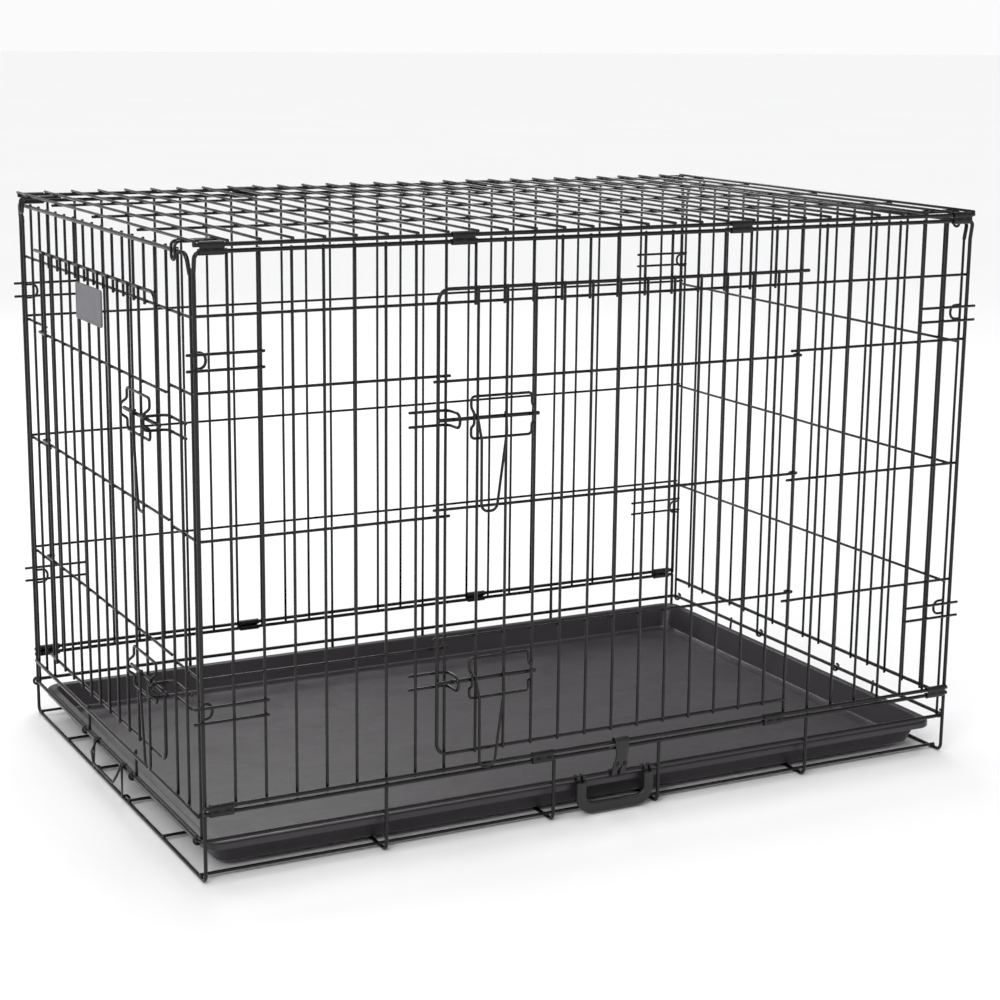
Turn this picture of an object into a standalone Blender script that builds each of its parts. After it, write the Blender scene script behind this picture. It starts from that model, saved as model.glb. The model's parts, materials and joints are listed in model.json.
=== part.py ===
"""Folding wire dog crate: two doors, a plastic tray, a carry handle.

Every size below is in millimetres, and MM turns it into Blender's metres. While it is
built, the crate stands on z = 0 with its middle at x = y = 0; at the end the whole
assembly is moved so that the middle of its bounding box, at floor level, is the origin.

Each panel has its own three directions: s along the panel, n outward from the plane of
its upright wires, and z up. The on_... functions turn (s, n, z) into world positions.
"""
import math
from collections import namedtuple

import bmesh
import bpy
from mathutils import Matrix, Vector

MM = 0.001

# Overall sizes
LENGTH = 1064.0
WIDTH = 700.0
PITCH = 38.0
END_PITCH = 39.76
SIDE_COUNT = 29
END_COUNT = 18

# Wire diameters
GRID_WIRE = 3.6
EDGE_WIRE = 5.0
RAIL_WIRE = 5.0
FOOT_WIRE = 4.6
FLOOR_WIRE = 4.0
FRAME_WIRE = 4.4
GUIDE_WIRE = 3.4
BOLT_WIRE = 4.8
STOP_WIRE = 3.2

# How far each layer of wires lies outside (or inside) its panel's upright wires
RAIL_N = 3.9
CROSS_N = -3.2
CATCH_N = 3.2
DOOR_CROSS_N = 4.2
DOOR_FRAME_N = 4.6
DOOR_UPRIGHT_N = 7.5
GUIDE_N = 10.7
GUIDE_BULGE_N = 18.5
BOLT_N = 13.0
HANDLE_N = 16.8
KEEPER_N = 28.0

# Side panels (front and rear)
SIDE_LOW = 89.0
SIDE_HIGH = 731.0
SIDE_LOW_RAIL = 93.5
SIDE_HIGH_RAIL = 728.0
SIDE_END = LENGTH / 2 + 2.0
LINTEL = 657.0
SIDE_CROSS = (572.0, 405.0, 245.0)
SIDE_DOORWAY = (9, 20)
STUB_OVERHANG = 8.0

# End panels
END_LOW = 76.0
END_HIGH = 728.5
END_LOW_RAIL = 80.0
END_HIGH_RAIL = 725.0
END_SIDE = 341.5
END_LINTEL = 654.0
END_CROSS = (568.0, 403.0, 241.0)
END_DOORWAY = (3, 14)
RING_UPRIGHTS = (0, 6, 11, 17)
RING_RADIUS = 4.8
RING_SWEEP = 250.0
RING_STEPS = 8
RING_STUB_TOP = 85.0

# Corner catches: pairs of wires on the side panels, loops on the end panels
CATCH_HEIGHTS = ((598.0, 616.0), (195.0, 213.0))
CATCH_INNER = 452.0
CATCH_OUTER = 544.0
CATCH_LOOP_DEPTH = 16.0
CATCH_LOOP_ROOT = 0.6
CATCH_LOOP_CORNER = 5.0

# Base frame
FOOT_UPRIGHTS = (0, 6, 12, 16, 22, 28)
FOOT_TOP = 87.5
FOOT_CORNER = 9.0
OUTER_RAIL_Y = 353.9
OUTER_RAIL_Z = 86.0
LOOP_X = 536.5
LOOP_Y = 345.8
LOOP_Z = 51.0
LOOP_CORNER = 8.0
FLOOR_WIRE_YS = (-334.0, -200.4, -66.8, 66.8, 200.4, 334.0)
FLOOR_WIRE_Z = 6.2
FLOOR_WIRE_END = 534.0
END_STUB_YS = (-184.0, 184.0)
END_STUB_TOP = 54.0
END_STUB_LOW = 1.0
END_STUB_GAP = 1.3

# Top panel
TOP_RAIL_Z = 735.5
TOP_WIRE_Z = 739.4
TOP_LONG_Z = 736.2
TOP_LONG_YS = (-175.0, 0.0, 175.0)
TOP_LONG_END = 538.0
TOP_FRONT_TIP = -356.0
TOP_REAR_TIP = 362.0
TOP_HOOK_Y = 310.0
TOP_HOOK_WIDTH = 12.0
TOP_HOOK_X = 541.0
TOP_HOOK_ROOT = 488.0
TOP_HOOK_LOW = 716.0
TOP_HOOK_CORNER = 5.0

# Hinge sleeves: where they sit, in pitches from the left end
SLEEVE_LENGTH = 29.0
SLEEVE_WALL = 1.1
SLEEVE_BORE = 3.03
TOP_SLEEVES = (0.5, 8.5, 18.5, 27.5)
FRONT_LOW_SLEEVES = (0.5, 11.5, 20.5, 27.5)
REAR_LOW_SLEEVES = (0.5, 8.5, 18.5, 27.5)

# Latches, measured from the keeper's tongue along s
LATCH_HEIGHTS = {"upper": 523.0, "lower": 206.0}
KEEPER_HALF = 8.5
KEEPER_CORNER = 6.0
GUIDE_HALF = 25.0
GUIDE_START = 23.0
GUIDE_BULGE = ((GUIDE_N, 12.0), (GUIDE_BULGE_N, 6.5), (GUIDE_BULGE_N, -6.5), (GUIDE_N, -12.0))
GUIDE_CORNER = 4.0
BOLT_START = -20.0
BOLT_END = 112.0
PULL_HOOK_Z = 4.0
PULL_LEFT = ((28.0, PULL_HOOK_Z), (34.0, -26.0), (34.5, -112.0))
PULL_RIGHT = ((54.5, -112.0), (67.0, -18.0), (66.0, PULL_HOOK_Z))
PULL_CORNER = 9.0

# Doors
DOOR_TIP_OVERHANG = 3.0
DOOR_FRAME_CORNER = 14.0
DOOR_FRAME_GAP = 1.0

# Tray
TRAY_HALF_X = 527.0
TRAY_HALF_Y = 340.0
TRAY_CORNER = 22.0
TRAY_RIM_Z = 43.5
TRAY_LIP_Z = 34.0
TRAY_BOTTOM_Z = 8.5
TRAY_RIM = 9.0
TRAY_SLOPE = 10.0
TRAY_WALL = 2.5
TRAY_EDGE = 2.0
TRAY_FLOOR_RISE = 4.0

# Tray stop, on the left end (s from the middle of the end)
STOP_FEET = (-50.0, 73.0)
STOP_HOOKS = (-68.0, 48.0)
STOP_FOOT_RADIUS = 5.3
STOP_HAIRPIN = 5.0
STOP_PULL_N = 16.5
STOP_PULL_Z = 28.0
STOP_PULL_SLANT = 11.0
STOP_PULL_RISE = 12.0
STOP_PULL_LEAN = 1.5

# Carry handle and strap clip, both on the front base rail (x from the middle)
HANDLE_XS = (-36.5, 61.5)
HANDLE_BAR = 14.0
HANDLE_THICK = 8.0
HANDLE_CORNER = 26.0
HANDLE_LOW = 3.0
HANDLE_TOP = 47.0
HANDLE_PLANE_N = -0.5
EYE_RADIUS = 4.6
EYE_WALL = 3.0
STRAP_X = 17.0
STRAP_WIDTH = 20.0
STRAP_THICK = 2.6
STRAP_HOOK_RADIUS = 4.7
STRAP_NECK = ((0.0, 80.0), (3.0, 68.0))
STRAP_NECK_SHARE = 0.75
STRAP_FINGER = 9.0
STRAP_FINGER_DROP = 3.0

# Name plate on the end door
PLATE_Y = 6.0
PLATE_Z = 629.0
PLATE_WIDTH = 105.0
PLATE_HEIGHT = 46.0
PLATE_THICK = 2.4
PLATE_CORNER = 4.0
PLATE_N = 10.9

Wire = namedtuple("Wire", "points diameter closed tilt", defaults=(False, 0.0))
Door = namedtuple("Door", "place hinge uprights frame tips levels top bottom frame_end tongue guide_end")


# ---- Places ---------------------------------------------------------------

def on_front(s, n, z):
    return Vector((s, -WIDTH / 2 - n, z))


def on_rear(s, n, z):
    return Vector((s, WIDTH / 2 + n, z))


def on_left(s, n, z):
    return Vector((-LENGTH / 2 - n, s, z))


def on_right(s, n, z):
    return Vector((LENGTH / 2 + n, s, z))


def side_at(pitches):
    """Distance along a side panel of a wire counted from the left end."""
    return PITCH * pitches - LENGTH / 2


def end_at(pitches):
    """Distance along an end panel of a wire counted from the front."""
    return END_PITCH * (pitches - (END_COUNT - 1) / 2)


FRONT_DOOR = Door(place=on_front, hinge=side_at(21), uprights=[side_at(i) for i in range(9, 21)],
                  frame=-240.0, tips=-246.0, levels=(567.0, 415.0, 258.0), top=674.0,
                  bottom=114.0, frame_end=10.0, tongue=-223.0, guide_end=103.0)
END_DOOR = Door(place=on_left, hinge=end_at(15), uprights=[end_at(k) for k in range(4, 15)],
                frame=-231.0, tips=-262.0, levels=(561.0, 413.0, 252.0), top=670.0,
                bottom=112.0, frame_end=10.0, tongue=-243.0, guide_end=107.0)


# ---- Paths ----------------------------------------------------------------

def arc(centre, radius, start, sweep, steps):
    """Points (u, v) round a centre, from a start angle through a sweep, in degrees."""
    points = []
    for step in range(steps + 1):
        angle = math.radians(start + sweep * step / steps)
        points.append((centre[0] + radius * math.cos(angle), centre[1] + radius * math.sin(angle)))
    return points


def rounded(points, radius, steps=3, closed=False):
    """The same path with each corner turned into an arc."""
    corners = [Vector(point) for point in points]
    count = len(corners)
    path = []
    for index, corner in enumerate(corners):
        if not closed and index in (0, count - 1):
            path.append(corner)
            continue
        to_last = corners[index - 1] - corner
        to_next = corners[(index + 1) % count] - corner
        half_angle = to_last.angle(to_next) / 2
        if half_angle > math.radians(88):
            path.append(corner)
            continue
        reach = min(radius / math.tan(half_angle), 0.49 * to_last.length, 0.49 * to_next.length)
        bend = reach * math.tan(half_angle)
        centre = corner + (to_last.normalized() + to_next.normalized()).normalized() * (
            bend / math.sin(half_angle))
        first = corner + to_last.normalized() * reach - centre
        last = corner + to_next.normalized() * reach - centre
        for step in range(steps + 1):
            path.append(centre + first.slerp(last, step / steps).normalized() * bend)
    return path


# ---- Solids ---------------------------------------------------------------

def clear_scene():
    for item in list(bpy.data.objects):
        bpy.data.objects.remove(item, do_unlink=True)


def make_material(name, color, roughness, metallic):
    material = bpy.data.materials.new(name)
    material.use_nodes = True
    shader = material.node_tree.nodes["Principled BSDF"]
    shader.inputs["Base Color"].default_value = (*color, 1.0)
    shader.inputs["Roughness"].default_value = roughness
    shader.inputs["Metallic"].default_value = metallic
    return material


def link(name, data):
    item = bpy.data.objects.new(name, data)
    bpy.context.scene.collection.objects.link(item)
    return item


def as_mesh(item, weld=1e-6):
    """Replace an object by the mesh it evaluates to, with loose caps welded on."""
    bpy.context.view_layer.update()
    depsgraph = bpy.context.evaluated_depsgraph_get()
    mesh = bpy.data.meshes.new_from_object(item.evaluated_get(depsgraph))
    work = bmesh.new()
    work.from_mesh(mesh)
    bmesh.ops.remove_doubles(work, verts=work.verts, dist=weld)
    bmesh.ops.recalc_face_normals(work, faces=work.faces)
    work.to_mesh(mesh)
    work.free()
    name = item.name
    place = item.matrix_world.copy()
    bpy.data.objects.remove(item)
    solid = link(name, mesh)
    solid.matrix_world = place
    return solid


def wires(name, items, sides=4):
    """One mesh with a bar of several sides along each wire; the wires stay clear of each other."""
    curve = bpy.data.curves.new(name, "CURVE")
    curve.dimensions = "3D"
    curve.bevel_depth = MM
    curve.bevel_resolution = (sides - 4) // 2
    curve.use_fill_caps = True
    for item in items:
        spline = curve.splines.new("POLY")
        spline.points.add(len(item.points) - 1)
        for target, point in zip(spline.points, item.points):
            target.co = (*(Vector(point) * MM), 1.0)
            target.radius = item.diameter / 2
            target.tilt = math.radians(item.tilt)
        spline.use_cyclic_u = item.closed
    return as_mesh(link(name, curve))


def plate(name, outlines, thickness, matrix):
    """A flat piece: closed outlines in its own plane, thick on both sides of that plane."""
    curve = bpy.data.curves.new(name, "CURVE")
    curve.dimensions = "2D"
    curve.fill_mode = "BOTH"
    curve.extrude = thickness / 2 * MM
    for outline in outlines:
        spline = curve.splines.new("POLY")
        spline.points.add(len(outline) - 1)
        for target, point in zip(spline.points, outline):
            target.co = (point[0] * MM, point[1] * MM, 0.0, 1.0)
        spline.use_cyclic_u = True
    item = link(name, curve)
    item.matrix_world = matrix
    return as_mesh(item)


def strip(name, profile, widths, thickness, x):
    """A bent strip of sheet: a profile of (y, z) points, each with its width along x."""
    mesh = bpy.data.meshes.new(name)
    work = bmesh.new()
    rows = []
    for (y, z), width in zip(profile, widths):
        row = [work.verts.new(Vector((x + side * width / 2, y, z)) * MM) for side in (-1, 1)]
        rows.append(row)
    for row, following in zip(rows, rows[1:]):
        work.faces.new((row[0], row[1], following[1], following[0]))
    work.to_mesh(mesh)
    work.free()
    item = link(name, mesh)
    shell = item.modifiers.new("Thickness", "SOLIDIFY")
    shell.thickness = thickness * MM
    shell.offset = 0.0
    shell.use_even_offset = True
    return as_mesh(item)


def join(name, solids):
    """Weld several solids into one body with exact unions."""
    base = solids[0]
    for other in solids[1:]:
        weld = base.modifiers.new("Weld", "BOOLEAN")
        weld.operation = "UNION"
        weld.solver = "EXACT"
        weld.object = other
    body = as_mesh(base)
    for other in solids[1:]:
        bpy.data.objects.remove(other)
    body.name = name
    return body


def finish(item, material, pivot=(0.0, 0.0, 0.0)):
    """Give a body its material, smooth shading and an origin at its joint's axis."""
    place = Vector(pivot) * MM
    item.data.transform(Matrix.Translation(-place) @ item.matrix_world)
    item.matrix_world = Matrix.Translation(place)
    item.data.materials.clear()
    item.data.materials.append(material)
    item.data.shade_smooth()
    item.data.set_sharp_from_angle(angle=math.radians(30))
    return item


# ---- Panels ---------------------------------------------------------------

def crossing(place, start, stop, n, z, diameter):
    return Wire([place(start, n, z), place(stop, n, z)], diameter)


def upright(place, s, n, low, high, diameter=GRID_WIRE):
    return Wire([place(s, n, low), place(s, n, high)], diameter)


def keeper(place, tongue, root, middle):
    """A U of wire that stands out of a panel for the bolt to slide through."""
    legs = []
    for side in (1, -1):
        height = middle + side * KEEPER_HALF
        leg = [(root, CROSS_N, height), (tongue, CROSS_N, height), (tongue, KEEPER_N, height)]
        legs.append(leg if side > 0 else leg[::-1])
    path = rounded(legs[0] + legs[1], KEEPER_CORNER)
    return Wire([place(*point) for point in path], GRID_WIRE)


def side_panel(name, place, doorway):
    """A long panel: 29 uprights between two rails, with or without a doorway."""
    first, last = SIDE_DOORWAY
    posts = []
    for index in range(SIDE_COUNT):
        cut = doorway and first <= index <= last
        low = LINTEL - GRID_WIRE if cut else SIDE_LOW
        edge = index in (0, SIDE_COUNT - 1)
        posts.append(upright(place, side_at(index), 0.0, low, SIDE_HIGH, EDGE_WIRE if edge else GRID_WIRE))
    across = [crossing(place, -SIDE_END, SIDE_END, RAIL_N, z, RAIL_WIRE)
              for z in (SIDE_LOW_RAIL, SIDE_HIGH_RAIL)]
    for z in SIDE_CROSS:
        if doorway:
            left = side_at(first - 1) + STUB_OVERHANG
            right = side_at(last + 1) - STUB_OVERHANG
            across.append(crossing(place, -SIDE_END, left, CROSS_N, z, GRID_WIRE))
            across.append(crossing(place, right, SIDE_END, CROSS_N, z, GRID_WIRE))
        else:
            across.append(crossing(place, -SIDE_END, SIDE_END, CROSS_N, z, GRID_WIRE))
    for pair in CATCH_HEIGHTS:
        for z in pair:
            for inner, outer in ((-CATCH_INNER, -CATCH_OUTER), (CATCH_INNER, CATCH_OUTER)):
                across.append(crossing(place, inner, outer, CATCH_N, z, GRID_WIRE))
    if doorway:
        across.append(crossing(place, -SIDE_END, SIDE_END, CROSS_N, LINTEL, GRID_WIRE))
        root = side_at(first - 2) - STUB_OVERHANG
        for middle in LATCH_HEIGHTS.values():
            across.append(keeper(place, FRONT_DOOR.tongue, root, middle))
    return join(name, [wires(name, posts), wires(name + "_across", across)])


def ring_foot(place, s, high):
    """An upright whose lower end curls round the base frame's end rail."""
    centre = (LOOP_X - LENGTH / 2, LOOP_Z)
    curl = arc(centre, RING_RADIUS, 180.0, RING_SWEEP, RING_STEPS)
    points = [place(s, 0.0, high), place(s, 0.0, LOOP_Z + 2 * RING_RADIUS)]
    points += [place(s, n, z) for n, z in curl]
    return Wire(points, GRID_WIRE)


def catch_loop(place, s, low, high):
    """A U of wire that stands inward from an end panel's outermost upright."""
    corners = [(s, CATCH_LOOP_ROOT, high), (s, -CATCH_LOOP_DEPTH, high),
               (s, -CATCH_LOOP_DEPTH, low), (s, CATCH_LOOP_ROOT, low)]
    return Wire([place(*point) for point in rounded(corners, CATCH_LOOP_CORNER)], GUIDE_WIRE)


def end_panel(name, place, doorway):
    """An end panel: 18 uprights, four of them ending in rings round the base's end rail."""
    first, last = END_DOORWAY
    posts = []
    for index in range(END_COUNT):
        s = end_at(index)
        cut = doorway and first <= index <= last
        if cut:
            posts.append(upright(place, s, 0.0, END_LINTEL - GRID_WIRE, END_HIGH))
        if index in RING_UPRIGHTS:
            posts.append(ring_foot(place, s, RING_STUB_TOP if cut else END_HIGH))
        elif not cut:
            posts.append(upright(place, s, 0.0, END_LOW, END_HIGH))
    across = [crossing(place, -END_SIDE, END_SIDE, RAIL_N, z, RAIL_WIRE)
              for z in (END_LOW_RAIL, END_HIGH_RAIL)]
    for z in END_CROSS:
        if doorway:
            front = end_at(first - 1) + STUB_OVERHANG
            rear = end_at(last + 1) - STUB_OVERHANG
            across.append(crossing(place, -END_SIDE, front, CROSS_N, z, GRID_WIRE))
            across.append(crossing(place, rear, END_SIDE, CROSS_N, z, GRID_WIRE))
        else:
            across.append(crossing(place, -END_SIDE, END_SIDE, CROSS_N, z, GRID_WIRE))
    for low, high in CATCH_HEIGHTS:
        for s in (end_at(0), end_at(END_COUNT - 1)):
            across.append(catch_loop(place, s, low, high))
    if doorway:
        across.append(crossing(place, -END_SIDE, END_SIDE, CROSS_N, END_LINTEL, GRID_WIRE))
        root = end_at(first - 2) - STUB_OVERHANG
        for middle in LATCH_HEIGHTS.values():
            across.append(keeper(place, END_DOOR.tongue, root, middle))
    return join(name, [wires(name, posts), wires(name + "_across", across)])


def top_hook(end, y):
    """A doubled wire that reaches over an end panel's top rail."""
    half = TOP_HOOK_WIDTH / 2
    corners = [(TOP_HOOK_ROOT, y - half, TOP_LONG_Z), (TOP_HOOK_X, y - half, TOP_LONG_Z),
               (TOP_HOOK_X, y - half, TOP_HOOK_LOW), (TOP_HOOK_X, y + half, TOP_HOOK_LOW),
               (TOP_HOOK_X, y + half, TOP_LONG_Z), (TOP_HOOK_ROOT, y + half, TOP_LONG_Z)]
    path = rounded(corners, TOP_HOOK_CORNER)
    return Wire([(end * x, across, z) for x, across, z in path], GRID_WIRE)


def top_panel(name):
    """The roof: 29 wires across, over two rails and three long wires."""
    across = []
    for index in range(SIDE_COUNT):
        x = side_at(index)
        across.append(Wire([(x, TOP_FRONT_TIP, TOP_WIRE_Z), (x, TOP_REAR_TIP, TOP_WIRE_Z)], GRID_WIRE))
    along = []
    for y in (-OUTER_RAIL_Y, OUTER_RAIL_Y):
        along.append(Wire([(-SIDE_END, y, TOP_RAIL_Z), (SIDE_END, y, TOP_RAIL_Z)], RAIL_WIRE))
    for y in TOP_LONG_YS:
        along.append(Wire([(-TOP_LONG_END, y, TOP_LONG_Z), (TOP_LONG_END, y, TOP_LONG_Z)], GRID_WIRE))
    for end in (-1, 1):
        for y in (-TOP_HOOK_Y, TOP_HOOK_Y):
            along.append(top_hook(end, y))
    return join(name, [wires(name, across), wires(name + "_along", along)])


def base_frame(name):
    """The floor frame: six U wires, two rail levels, floor wires and two stubs at the right end."""
    foot_z = FOOT_WIRE / 2
    square = FOOT_WIRE * math.sqrt(2.0)
    feet = []
    for index in FOOT_UPRIGHTS:
        x = side_at(index)
        corners = [(x, -WIDTH / 2, FOOT_TOP), (x, -WIDTH / 2, foot_z),
                   (x, WIDTH / 2, foot_z), (x, WIDTH / 2, FOOT_TOP)]
        feet.append(Wire(rounded(corners, FOOT_CORNER, 2), square, False, 45.0))
    ring = [(-LOOP_X, -LOOP_Y, LOOP_Z), (LOOP_X, -LOOP_Y, LOOP_Z),
            (LOOP_X, LOOP_Y, LOOP_Z), (-LOOP_X, LOOP_Y, LOOP_Z)]
    along = [Wire(rounded(ring, LOOP_CORNER, closed=True), RAIL_WIRE, True)]
    for y in (-OUTER_RAIL_Y, OUTER_RAIL_Y):
        along.append(Wire([(-SIDE_END, y, OUTER_RAIL_Z), (SIDE_END, y, OUTER_RAIL_Z)], RAIL_WIRE))
    for y in FLOOR_WIRE_YS:
        ends = [(-FLOOR_WIRE_END, y, FLOOR_WIRE_Z), (FLOOR_WIRE_END, y, FLOOR_WIRE_Z)]
        along.append(Wire(ends, FLOOR_WIRE))
    stubs = []
    for y in END_STUB_YS:
        top = (LOOP_X + RAIL_WIRE / 2 + END_STUB_GAP, y, END_STUB_TOP)
        low = (LENGTH / 2 + FOOT_WIRE / 2 + END_STUB_GAP, y, END_STUB_LOW)
        stubs.append(Wire([top, low], GRID_WIRE))
    return join(name, [wires(name, feet), wires(name + "_along", along), wires(name + "_stubs", stubs)])


# ---- Doors and latches ----------------------------------------------------

def door_crossing(door, z):
    """A door's cross wire, curled round the hinge upright at one end."""
    curl = arc((door.hinge, 0.0), DOOR_CROSS_N, 90.0, -270.0, 8)
    path = [(door.tips, DOOR_CROSS_N)] + curl
    return Wire([door.place(s, n, z) for s, n in path], GRID_WIRE)


def guide(door, middle):
    """A wire frame whose short sides bulge outward to hold a bolt."""
    start = door.tongue + GUIDE_START
    stop = door.tongue + door.guide_end
    corners = [(start, GUIDE_N, GUIDE_HALF), (stop, GUIDE_N, GUIDE_HALF)]
    corners += [(stop, n, z) for n, z in GUIDE_BULGE]
    corners += [(stop, GUIDE_N, -GUIDE_HALF), (start, GUIDE_N, -GUIDE_HALF)]
    corners += [(start, n, z) for n, z in reversed(GUIDE_BULGE)]
    path = rounded(corners, GUIDE_CORNER, 2, closed=True)
    return Wire([door.place(s, n, z + middle) for s, n, z in path], GUIDE_WIRE, True)


def door_panel(name, door):
    """A door: upright wires, three cross wires that form the hinge, a C-shaped outer wire."""
    low = door.bottom - DOOR_TIP_OVERHANG
    high = door.top + DOOR_TIP_OVERHANG
    posts = [upright(door.place, s, DOOR_UPRIGHT_N, low, high) for s in door.uprights]
    across = [door_crossing(door, z) for z in door.levels]
    corners = [(door.hinge + door.frame_end, DOOR_FRAME_N, door.top), (door.frame, DOOR_FRAME_N, door.top),
               (door.frame, DOOR_FRAME_N, door.bottom),
               (door.hinge - DOOR_FRAME_GAP, DOOR_FRAME_N, door.bottom)]
    path = rounded(corners, DOOR_FRAME_CORNER)
    outer = [Wire([door.place(*point) for point in path], FRAME_WIRE)]
    outer += [guide(door, middle) for middle in LATCH_HEIGHTS.values()]
    return join(name, [wires(name, posts), wires(name + "_across", across), wires(name + "_outer", outer)])


def latch_bolt(name, door, middle):
    """A sliding bolt with a V of wire that hooks over it and hangs down as its handle."""
    def at(s, n, z):
        return door.place(door.tongue + s, n, middle + z)

    shaft = Wire([at(BOLT_START, BOLT_N, 0.0), at(BOLT_END, BOLT_N, 0.0)], BOLT_WIRE)
    corners = [(PULL_LEFT[0][0], BOLT_N, PULL_HOOK_Z)]
    corners += [(s, HANDLE_N, z) for s, z in PULL_LEFT + PULL_RIGHT]
    corners += [(PULL_RIGHT[-1][0], BOLT_N, PULL_HOOK_Z)]
    pull = Wire([at(*point) for point in rounded(corners, PULL_CORNER)], GUIDE_WIRE)
    return join(name, [wires(name, [shaft]), wires(name + "_pull", [pull])])


def name_plate(name):
    """A blank plate with rounded corners outside the end door's upright wires."""
    half_width = PLATE_WIDTH / 2
    half_height = PLATE_HEIGHT / 2
    corners = [(-half_width, -half_height, 0.0), (half_width, -half_height, 0.0),
               (half_width, half_height, 0.0), (-half_width, half_height, 0.0)]
    outline = rounded(corners, PLATE_CORNER, closed=True)
    turn = Matrix(((0, 0, 1, 0), (1, 0, 0, 0), (0, 1, 0, 0), (0, 0, 0, 1)))
    middle = on_left(PLATE_Y, PLATE_N, PLATE_Z) * MM
    return plate(name, [outline], PLATE_THICK, Matrix.Translation(middle) @ turn)


# ---- Sleeves, tray, stop, handle, strap -----------------------------------

def sleeve(name, x, y, low, high):
    """A crimped metal sleeve round two parallel rails, one above the other."""
    outlines = []
    for radius in (SLEEVE_BORE + SLEEVE_WALL, SLEEVE_BORE):
        outline = arc((0.0, high), radius, 0.0, 180.0, 4) + arc((0.0, low), radius, 180.0, 180.0, 4)
        outlines.append(outline)
    turn = Matrix(((0, 0, 1, 0), (1, 0, 0, 0), (0, 1, 0, 0), (0, 0, 0, 1)))
    return plate(name, outlines, SLEEVE_LENGTH, Matrix.Translation(Vector((x, y, 0.0)) * MM) @ turn)


def tray_ring(inset, z):
    """A rounded rectangle at one level of the tray."""
    half_x = TRAY_HALF_X - inset
    half_y = TRAY_HALF_Y - inset
    corners = [(-half_x, -half_y, z), (half_x, -half_y, z), (half_x, half_y, z), (-half_x, half_y, z)]
    return rounded(corners, TRAY_CORNER, 4, closed=True)


def tray(name):
    """The floor pan: a lip, a flat rim, sloping walls and a flat bottom."""
    inner_rim = TRAY_RIM + TRAY_WALL
    bottom = TRAY_BOTTOM_Z + TRAY_WALL / 2
    top = TRAY_RIM_Z - TRAY_WALL / 2
    edge = TRAY_WALL / 2
    foot = inner_rim + TRAY_SLOPE
    levels = [(edge, TRAY_LIP_Z), (edge, top - TRAY_EDGE), (edge + TRAY_EDGE, top), (inner_rim, top),
              (foot - TRAY_EDGE, bottom + TRAY_FLOOR_RISE), (foot + TRAY_EDGE, bottom)]
    work = bmesh.new()
    rings = [[work.verts.new(point * MM) for point in tray_ring(inset, z)] for inset, z in levels]
    for ring, following in zip(rings, rings[1:]):
        for index in range(len(ring)):
            after = (index + 1) % len(ring)
            work.faces.new((ring[index], ring[after], following[after], following[index]))
    work.faces.new(rings[-1])
    mesh = bpy.data.meshes.new(name)
    work.to_mesh(mesh)
    work.free()
    item = link(name, mesh)
    shell = item.modifiers.new("Thickness", "SOLIDIFY")
    shell.thickness = TRAY_WALL * MM
    shell.offset = 0.0
    return as_mesh(item)


def tray_stop(name):
    """A wire bail: two feet over the base's end wire, two hairpin hooks over its end rail, a pull."""
    foot = arc((0.0, FOOT_WIRE / 2), STOP_FOOT_RADIUS, 180.0, -140.0, 5)
    hook = arc((LOOP_X - LENGTH / 2, LOOP_Z), RING_RADIUS, 0.0, 110.0, 3)
    front_foot, rear_foot = STOP_FEET
    front_hook, rear_hook = STOP_HOOKS
    path = [(front_foot, n, z) for n, z in foot]
    path += [(front_hook, n, z) for n, z in hook]
    front_leg = front_hook + STOP_HAIRPIN
    rear_leg = rear_hook - STOP_HAIRPIN
    path += [(front_leg, n, z) for n, z in reversed(hook)]
    path += [(front_leg, STOP_PULL_N - STOP_PULL_LEAN, STOP_PULL_Z + STOP_PULL_RISE),
             (front_leg + STOP_PULL_SLANT, STOP_PULL_N, STOP_PULL_Z),
             (rear_leg - STOP_PULL_SLANT, STOP_PULL_N, STOP_PULL_Z),
             (rear_leg, STOP_PULL_N - STOP_PULL_LEAN, STOP_PULL_Z + STOP_PULL_RISE)]
    path += [(rear_leg, n, z) for n, z in hook]
    path += [(rear_hook, n, z) for n, z in reversed(hook)]
    path += [(rear_foot, n, z) for n, z in reversed(foot)]
    return wires(name, [Wire([on_left(*point) for point in path], STOP_WIRE)])


def carry_handle(name):
    """A flat U with rounded corners that hangs from the front base rail on two snap-on eyes."""
    left, right = HANDLE_XS
    half = HANDLE_BAR / 2
    outer = [(left - half, HANDLE_TOP, 0.0), (left - half, HANDLE_LOW, 0.0),
             (right + half, HANDLE_LOW, 0.0), (right + half, HANDLE_TOP, 0.0)]
    inner = [(right - half, HANDLE_TOP, 0.0), (right - half, HANDLE_LOW + HANDLE_BAR, 0.0),
             (left + half, HANDLE_LOW + HANDLE_BAR, 0.0), (left + half, HANDLE_TOP, 0.0)]
    outline = rounded(outer, HANDLE_CORNER, 5) + rounded(inner, HANDLE_CORNER - HANDLE_BAR)
    turn = Matrix(((1, 0, 0, 0), (0, 0, -1, 0), (0, 1, 0, 0), (0, 0, 0, 1)))
    middle = on_front(0.0, HANDLE_PLANE_N, 0.0) * MM
    bow = plate(name, [outline], HANDLE_THICK, Matrix.Translation(middle) @ turn)
    eye = arc((-LOOP_Y, LOOP_Z), EYE_RADIUS, 150.0, 240.0, 8)
    eyes = [strip(name + "_eye", eye, [HANDLE_BAR - 1.0] * len(eye), EYE_WALL, x) for x in HANDLE_XS]
    return join(name, [bow] + eyes)


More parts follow.
